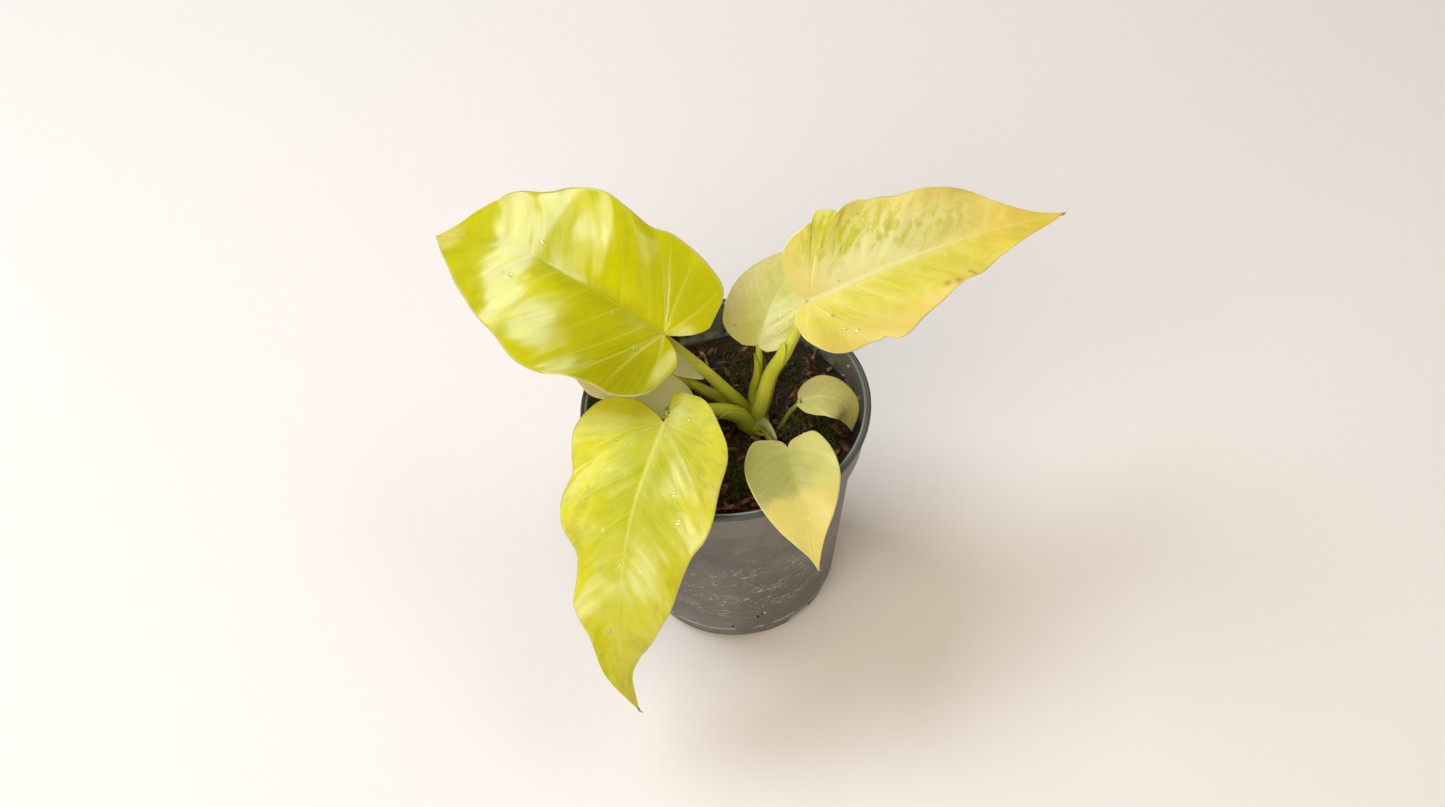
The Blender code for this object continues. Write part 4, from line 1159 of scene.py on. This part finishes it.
def make_leaf_ends():
    """The dry threads in which the three large blades end."""
    bm = new_stem_mesh()[0]
    for name, hook, reach in LEAF_ENDS:
        blade = Blade(LEAVES[name])
        inner, direction = blade.rib_frame(blade.length - 1.5)[:2]
        tip = blade.midrib[-1]
        path = [inner, tip, tip + direction * reach * 0.5 + Vector(hook) * 0.4,
                tip + direction * reach * 0.6 + Vector(hook)]
        add_tube(bm, path, lambda t, angle: 0.34 * (1 - t) + 0.13, 8, 24)
    dry = make_stem_material("dry_tip", (214, 184, 104), (226, 204, 134), (180, 132, 70))
    finish("leaf_ends", bm, [dry], outward=True)


def crown_radius(t, angle):
    """The crown's radius from its foot, where t is 0, to its round top, where t is 1."""
    size = 4.5 + 1.9 * smooth_step(0, 0.5, t)
    top = math.sqrt(max(1 - max((t - 0.86) / 0.14, 0) ** 2, 0))
    knobs = 0.25 * noise.noise(Vector((math.cos(angle) * 2, math.sin(angle) * 2, t * 9)))
    return (size + knobs) * top


def make_stems():
    """The crown, every petiole, and the sheaths round their feet."""
    green = make_stem_material("stalk_green", (202, 203, 52), (222, 220, 98), (180, 184, 32))
    pale = make_stem_material("sheath_green", (206, 208, 60), (222, 222, 108), (184, 190, 40))
    olive = make_stem_material("side_stalk_olive", (168, 166, 82), (188, 184, 108), (146, 146, 62))
    bm = new_stem_mesh()[0]
    for name in LEAVES:
        if name != "leaf_side":
            add_stalk(bm, name)
    core = [Vector((*CROWN_AT, z)) for z in CROWN_HEIGHTS]
    add_tube(bm, core, crown_radius, 32, 60, (1, 0, 0))
    add_tube(bm, [Vector(p) for p in BUD_STUB], lambda t, angle: 0.8 - 0.3 * t, 12, 24)
    finish("stalks", bm, [green], "stem", ("stem",), 60, True)

    bm = new_stem_mesh()[0]
    add_stalk(bm, "leaf_side")
    finish("side_stalk", bm, [olive], "stem", ("side_petiole",), 60, True)

    bm, stem_uv = new_stem_mesh()
    for sheath in SHEATHS:
        add_sheath(bm, stem_uv, *sheath)
    thicken(finish("sheaths", bm, [pale], "stem", (), 60, True), SHEATH_THICKNESS, offset=0)


# Pot

def slot_cutter(azimuth):
    """A block with rounded corners that opens a drainage slot in the pot's lower corner."""
    bm = bmesh.new()
    bmesh.ops.create_cube(bm, size=1)
    bmesh.ops.scale(bm, vec=(SLOT_DEPTH, SLOT_WIDTH, 2 * SLOT_HEIGHT), verts=bm.verts)
    for v in bm.verts:
        if v.co.z > 0:
            v.co.y *= SLOT_TOP_SHARE
    bmesh.ops.bevel(bm, geom=bm.edges[:], offset=SLOT_ROUND, affect="EDGES", segments=3,
                    profile=0.5, material=-1)
    bmesh.ops.translate(bm, vec=(FOOT_RADIUS, 0, 0), verts=bm.verts)
    bmesh.ops.rotate(bm, cent=(0, 0, 0), matrix=Matrix.Rotation(math.radians(azimuth), 3, "Z"),
                     verts=bm.verts)
    bmesh.ops.scale(bm, vec=(MM, MM, MM), verts=bm.verts)
    mesh = bpy.data.meshes.new("slot_cutter")
    bm.to_mesh(mesh)
    bm.free()
    return bpy.data.objects.new("slot_cutter", mesh)


def angle_apart(first, second):
    """The angle between two azimuths in degrees, 0 to 180."""
    return abs((first - second + 180) % 360 - 180)


def make_pot():
    bm = turned(POT_PROFILE, POT_STEPS)
    for v in bm.verts:
        if v.co.z < FOOT_RING_TOP and v.co.xy.length > FOOT_RING_RADIUS:
            azimuth = math.degrees(math.atan2(v.co.y, v.co.x))
            away = min(angle_apart(azimuth, arch) for arch in ARCH_AZIMUTHS) / ARCH_HALF_WIDTH
            if away < 1:
                v.co.z += ARCH_RISE * math.sqrt(1 - away ** 4) * (1 - v.co.z)
    pot = finish("pot_shell", bm, [make_pot_material()], "pot_plastic", ("pot",), 50)
    group = bpy.data.collections.new("slot_cutters")
    for azimuth in SLOT_AZIMUTHS:
        group.objects.link(slot_cutter(azimuth))
    cut = pot.modifiers.new("slots", "BOOLEAN")
    cut.operation = "DIFFERENCE"
    cut.operand_type = "COLLECTION"
    cut.collection = group
    cut.solver = "EXACT"
    bpy.context.view_layer.update()
    mesh = bpy.data.meshes.new_from_object(
        pot.evaluated_get(bpy.context.evaluated_depsgraph_get()))
    pot.modifiers.clear()
    pot.data = mesh
    for cutter in list(group.objects):
        bpy.data.objects.remove(cutter)
    bpy.data.collections.remove(group)
    return pot


def make_grains(pot):
    """Dark crumbs of soil and pale grit that stick to the pot."""
    bpy.context.view_layer.update()
    earth = make_earth_material("stuck_earth", (30, 24, 18), (52, 42, 32), (80, 66, 50), 900.0)
    grit = make_earth_material("pale_grit", (190, 176, 150), (214, 202, 176), (230, 220, 196),
                               900.0)
    for name, grains, material in (("soil_grains", DARK_GRAINS, earth),
                                   ("grit_grains", PALE_GRAINS, grit)):
        bm = bmesh.new()
        bm.verts.layers.float.new("tint")
        for (x, y, radius), point, normal in seen_spots(pot, grains):
            place = Matrix.Translation(point / MM + normal * radius * 0.3)
            made = bmesh.ops.create_icosphere(bm, subdivisions=2, radius=radius, matrix=place)
            roughen(made["verts"], 1.3 / radius, 0.4 * radius)
        finish(name, bm, [material])


# Soil

def ledge_cover(azimuth):
    """How far the soil covers the pot's inner ledge: 1 over most of it, 0 where it shows."""
    away = angle_apart(azimuth, LEDGE_AZIMUTH)
    return smooth_step(LEDGE_SPREAD / 2, LEDGE_SPREAD / 2 + LEDGE_BLEND, away)


def soil_height(x, y, edge_share):
    """The soil's height at a place, where edge_share is 0 in the middle and 1 at the wall."""
    bump_height = SOIL_BUMP * noise.noise(Vector((x, y, 0)) / SOIL_GRAIN)
    away = math.hypot(x - LUMP_AT[0], y - LUMP_AT[1]) / LUMP_RADIUS
    return (SOIL_EDGE_Z + SOIL_MOUND * (1 - edge_share ** 2)
            + bump_height * (1 - edge_share ** 6) + LUMP_HEIGHT * math.exp(-away ** 4))


def make_soil():
    """The potting mix: the solid's form with a crumbly top."""
    neck = BODY_TOP_RADIUS - WALL - GAP - 0.3
    brim = COLLAR_FOOT_RADIUS - WALL - GAP
    walls = [(0, FLOOR + GAP), (FOOT_RADIUS - WALL - GAP, FLOOR + GAP),
             (BODY_FOOT_RADIUS - WALL - GAP, FOOT_BAND), (neck, SHELF_INNER_Z),
             (brim, SHELF_INNER_Z + 0.5), (brim, SOIL_EDGE_Z)]
    top = [(brim * (1 - k / SOIL_RINGS), SOIL_BLANK_Z) for k in range(1, SOIL_RINGS)]
    bm = turned(walls + top + [(0, SOIL_BLANK_Z)], SOIL_STEPS)
    tint = bm.verts.layers.float.new("tint")
    for v in bm.verts:
        if v.co.z < SHELF_INNER_Z - 1:
            continue
        radius = v.co.xy.length
        cover = ledge_cover(math.degrees(math.atan2(v.co.y, v.co.x)))
        shelf_z = SHELF_BARE_Z + (SHELF_INNER_Z - SHELF_BARE_Z) * min(cover / 0.4, 1)
        edge = neck + (brim - neck) * max(cover - 0.6, 0) / 0.4
        if v.co.z < SOIL_BLANK_Z - 5:
            v.co.z += shelf_z - SHELF_INNER_Z
            if radius > neck + 0.1:
                v.co.xy = v.co.xy * (edge / radius)
            continue
        share = radius / brim
        v.co.xy = v.co.xy * (edge / brim)
        x, y = v.co.x, v.co.y
        dip = (SOIL_EDGE_Z - shelf_z - 1.4) * share ** 3
        crumbs = (0.9 * noise.noise(Vector((x, y, 3)) / 4.2)
                  + 0.7 * noise.noise(Vector((x, y, 9)) / 1.9)) * (1 - share ** 8)
        v.co.z = soil_height(x, y, share) - dip + crumbs - 0.2
        v[tint] = 0.5 + 0.5 * noise.noise(Vector((x, y, 20)) / 5)
    bmesh.ops.recalc_face_normals(bm, faces=bm.faces)
    ground = BVHTree.FromBMesh(bm)
    earth = make_earth_material("potting_mix", (13, 10, 6), (40, 30, 18), (76, 56, 34), 420.0)
    finish("soil_mix", bm, [earth], "soil", ("soil",), 80)
    return ground


def on_ground(ground, x, y, lift=0.0):
    """A place on the soil's surface or above it, or None where there is no soil."""
    hit = ground.ray_cast(Vector((x, y, ABOVE_SOIL_Z)), Vector((0, 0, -1)))[0]
    return None if hit is None else Vector((x, y, hit.z + lift))


def near(x, y, place, reach):
    """Whether a place on the soil lies within reach of another."""
    return math.hypot(x - place[0], y - place[1]) <= reach


def free_spot(dice, reach=52.0, off_moss=False):
    """A random place on the soil, off the crown and the bare ledge, and off the main moss."""
    while True:
        radius = reach * math.sqrt(dice.random())
        azimuth = dice.uniform(-180, 180)
        if radius > BARE_LEDGE_RADIUS and ledge_cover(azimuth) < 0.9:
            continue
        x, y = radius * math.cos(math.radians(azimuth)), radius * math.sin(math.radians(azimuth))
        covered = off_moss and any(near(x, y, bed[:2], 0.7 * bed[2])
                                   for bed in MOSS_BEDS[:MAIN_MOSS_BEDS])
        if not near(x, y, CROWN_AT, CROWN_CLEAR) and not covered:
            return x, y


def make_bark(ground, dice):
    """Chips of bark and rounder crumbs, half sunk in the mix."""
    chips = bmesh.new()
    tint = chips.verts.layers.float.new("tint")
    for k in range(BARK_COUNT):
        x, y = free_spot(dice, off_moss=True)
        length, width, height = dice.uniform(2.5, 8), dice.uniform(1.4, 3.2), dice.uniform(0.8, 2)
        turn = (Matrix.Rotation(dice.uniform(0, 6.3), 4, "Z")
                @ Matrix.Rotation(dice.uniform(-0.8, 0.8), 4, "Y")
                @ Matrix.Rotation(dice.uniform(-0.5, 0.5), 4, "X"))
        place = Matrix.Translation(on_ground(ground, x, y, 0.2 * height))
        size = Matrix.Diagonal((length / 2, width / 2, height / 2, 1))
        made = bmesh.ops.create_icosphere(chips, subdivisions=2, radius=1,
                                          matrix=place @ turn @ size)
        roughen(made["verts"], 1 / 1.1, 0.45)
        paint(made["verts"], tint, dice.random() ** 1.3)
    bark = make_earth_material("bark", (50, 32, 16), (128, 84, 50), (206, 146, 92), 300.0)
    finish("bark_chips", chips, [bark], sharp=30)

    crumbs = bmesh.new()
    tint = crumbs.verts.layers.float.new("tint")
    for k in range(CRUMB_COUNT):
        x, y = free_spot(dice)
        radius = dice.uniform(0.35, 1.3)
        place = Matrix.Translation(on_ground(ground, x, y, 0.3 * radius))
        turn = Matrix.Rotation(dice.uniform(0, 6.3), 4, (dice.random(), dice.random(), 1))
        made = bmesh.ops.create_icosphere(crumbs, subdivisions=1, radius=radius,
                                          matrix=place @ turn)
        roughen(made["verts"], 1.7, 0.35 * radius)
        paint(made["verts"], tint, dice.random() ** 2)
    crumb = make_earth_material("crumb", (26, 18, 10), (74, 54, 30), (134, 106, 60), 500.0)
    finish("soil_crumbs", crumbs, [crumb], sharp=30)


def make_fibres(ground, dice):
    """Curly fibres and roots over the mix."""
    bm = bmesh.new()
    tint = bm.verts.layers.float.new("tint")
    for k in range(FIBRE_COUNT):
        x, y = free_spot(dice, 50)
        heading = dice.uniform(0, 6.3)
        length, curl = dice.uniform(5, 17), dice.uniform(0.25, 0.75)
        height, path = dice.uniform(0.4, 1.9), []
        for step in range(FIBRE_BENDS + 1):
            arch = height * math.sin(math.pi * step / FIBRE_BENDS)
            place = on_ground(ground, x, y, 0.15 + arch)
            if place is None or not near(x, y, (0, 0), SOIL_REACH):
                break
            path.append(place)
            heading += dice.gauss(0, curl)
            x += length / FIBRE_BENDS * math.cos(heading)
            y += length / FIBRE_BENDS * math.sin(heading)
        if len(path) < 4:
            continue
        thick = dice.uniform(0.1, 0.26)
        verts = add_tube(bm, path, lambda t, angle: thick * (1 - 0.7 * t), 5, 14)
        paint(verts, tint, dice.random())
    for strand in ROOT_STRANDS:
        path = [on_ground(ground, x, y, ROOT_LIFT) or Vector((x, y, SOIL_EDGE_Z + ROOT_LIFT))
                for x, y in strand]
        for offset in (0, 7, 14):
            bent = [p + noise.noise_vector(p / 3 + Vector((offset, 0, 0))) * 0.9 for p in path]
            verts = add_tube(bm, bent, lambda t, angle: 0.6 - 0.25 * t, 6, 40)
            roughen(verts, 1 / 1.4, 0.25)
            paint(verts, tint, ROOT_TINT)
    fibre = make_earth_material("fibre", (72, 46, 24), (128, 84, 46), (190, 138, 82), 260.0)
    finish("fibres", bm, [fibre], outward=True)


def make_moss(ground, dice):
    """Tufts of moss in beds, of many short pointed strands."""
    bm = bmesh.new()
    tint = bm.verts.layers.float.new("tint")
    for bed_x, bed_y, reach, strands in MOSS_BEDS:
        for k in range(strands):
            radius, azimuth = reach * dice.random() ** 0.6, dice.uniform(0, 6.3)
            x, y = bed_x + radius * math.cos(azimuth), bed_y + radius * math.sin(azimuth)
            if not near(x, y, (0, 0), SOIL_REACH) or near(x, y, CROWN_AT, CROWN_CLEAR):
                continue
            if noise.noise(Vector((x, y, bed_x)) / 3.5) < -0.12:
                continue
            height = dice.uniform(0.9, 2.8)
            lean = (Matrix.Rotation(dice.uniform(0, 6.3), 4, "Z")
                    @ Matrix.Rotation(dice.uniform(0, 1.2), 4, "Y"))
            place = Matrix.Translation(on_ground(ground, x, y, -0.1))
            made = bmesh.ops.create_cone(
                bm, cap_ends=True, segments=3, radius1=dice.uniform(0.2, 0.4), radius2=0,
                depth=height, matrix=place @ lean @ Matrix.Translation((0, 0, height / 2)))
            paint(made["verts"], tint, dice.random())
    moss = make_earth_material("moss", (38, 48, 8), (92, 102, 24), (160, 162, 52), 700.0)
    finish("moss", bm, [moss])


# Light and floor

def make_area(name, azimuth, elevation, distance, size, power, colour):
    """A soft square lamp aimed at the plant; azimuth 0 is behind it, -90 at its left."""
    data = bpy.data.lights.new(name, "AREA")
    data.shape = "RECTANGLE"
    data.size, data.size_y = size
    data.energy = power
    data.color = colour
    lamp = bpy.data.objects.new(name, data)
    a, e = math.radians(azimuth), math.radians(elevation)
    away = Vector((math.sin(a) * math.cos(e), math.cos(a) * math.cos(e), math.sin(e)))
    lamp.location = LAMP_TARGET + away * distance
    lamp.rotation_euler = (-away).to_track_quat("-Z", "Y").to_euler()
    bpy.context.collection.objects.link(lamp)
    return lamp


def make_light():
    for *lamp, lights, mirrored in LAMPS:
        made = make_area(*lamp)
        made.visible_diffuse = lights
        made.visible_glossy = mirrored
        made.visible_transmission = not mirrored
    world = bpy.data.worlds.new("room")
    world.use_nodes = True
    tree = world.node_tree
    mirror = put(tree, "LightPath").outputs["Is Glossy Ray"]
    fill(tree, tree.nodes["Background"], {"Color": (1.0, 0.88, 0.7, 1),
                                          "Strength": ramp(tree, mirror, 0.0, 1.0, 0.35, 0.04)})
    bpy.context.scene.world = world
    bpy.context.scene.view_settings.view_transform = "Standard"


def make_floor():
    bm = bmesh.new()
    bmesh.ops.create_circle(bm, cap_ends=True, segments=96, radius=4)
    mesh = bpy.data.meshes.new("floor")
    bm.to_mesh(mesh)
    bm.free()
    floor = bpy.data.objects.new("floor", mesh)
    floor.data.materials.append(make_floor_material())
    bpy.context.collection.objects.link(floor)


def main():
    noise.seed_set(SEED)
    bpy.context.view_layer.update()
    make_camera()
    make_leaf_pattern_group()
    make_patch_group()
    blades = make_blades()
    make_droplets(blades)
    make_stems()
    make_scale_leaf()
    make_leaf_ends()
    make_grains(make_pot())
    dice = random.Random(SEED)
    ground = make_soil()
    make_bark(ground, dice)
    make_fibres(ground, dice)
    make_moss(ground, dice)
    make_floor()
    make_light()


main()
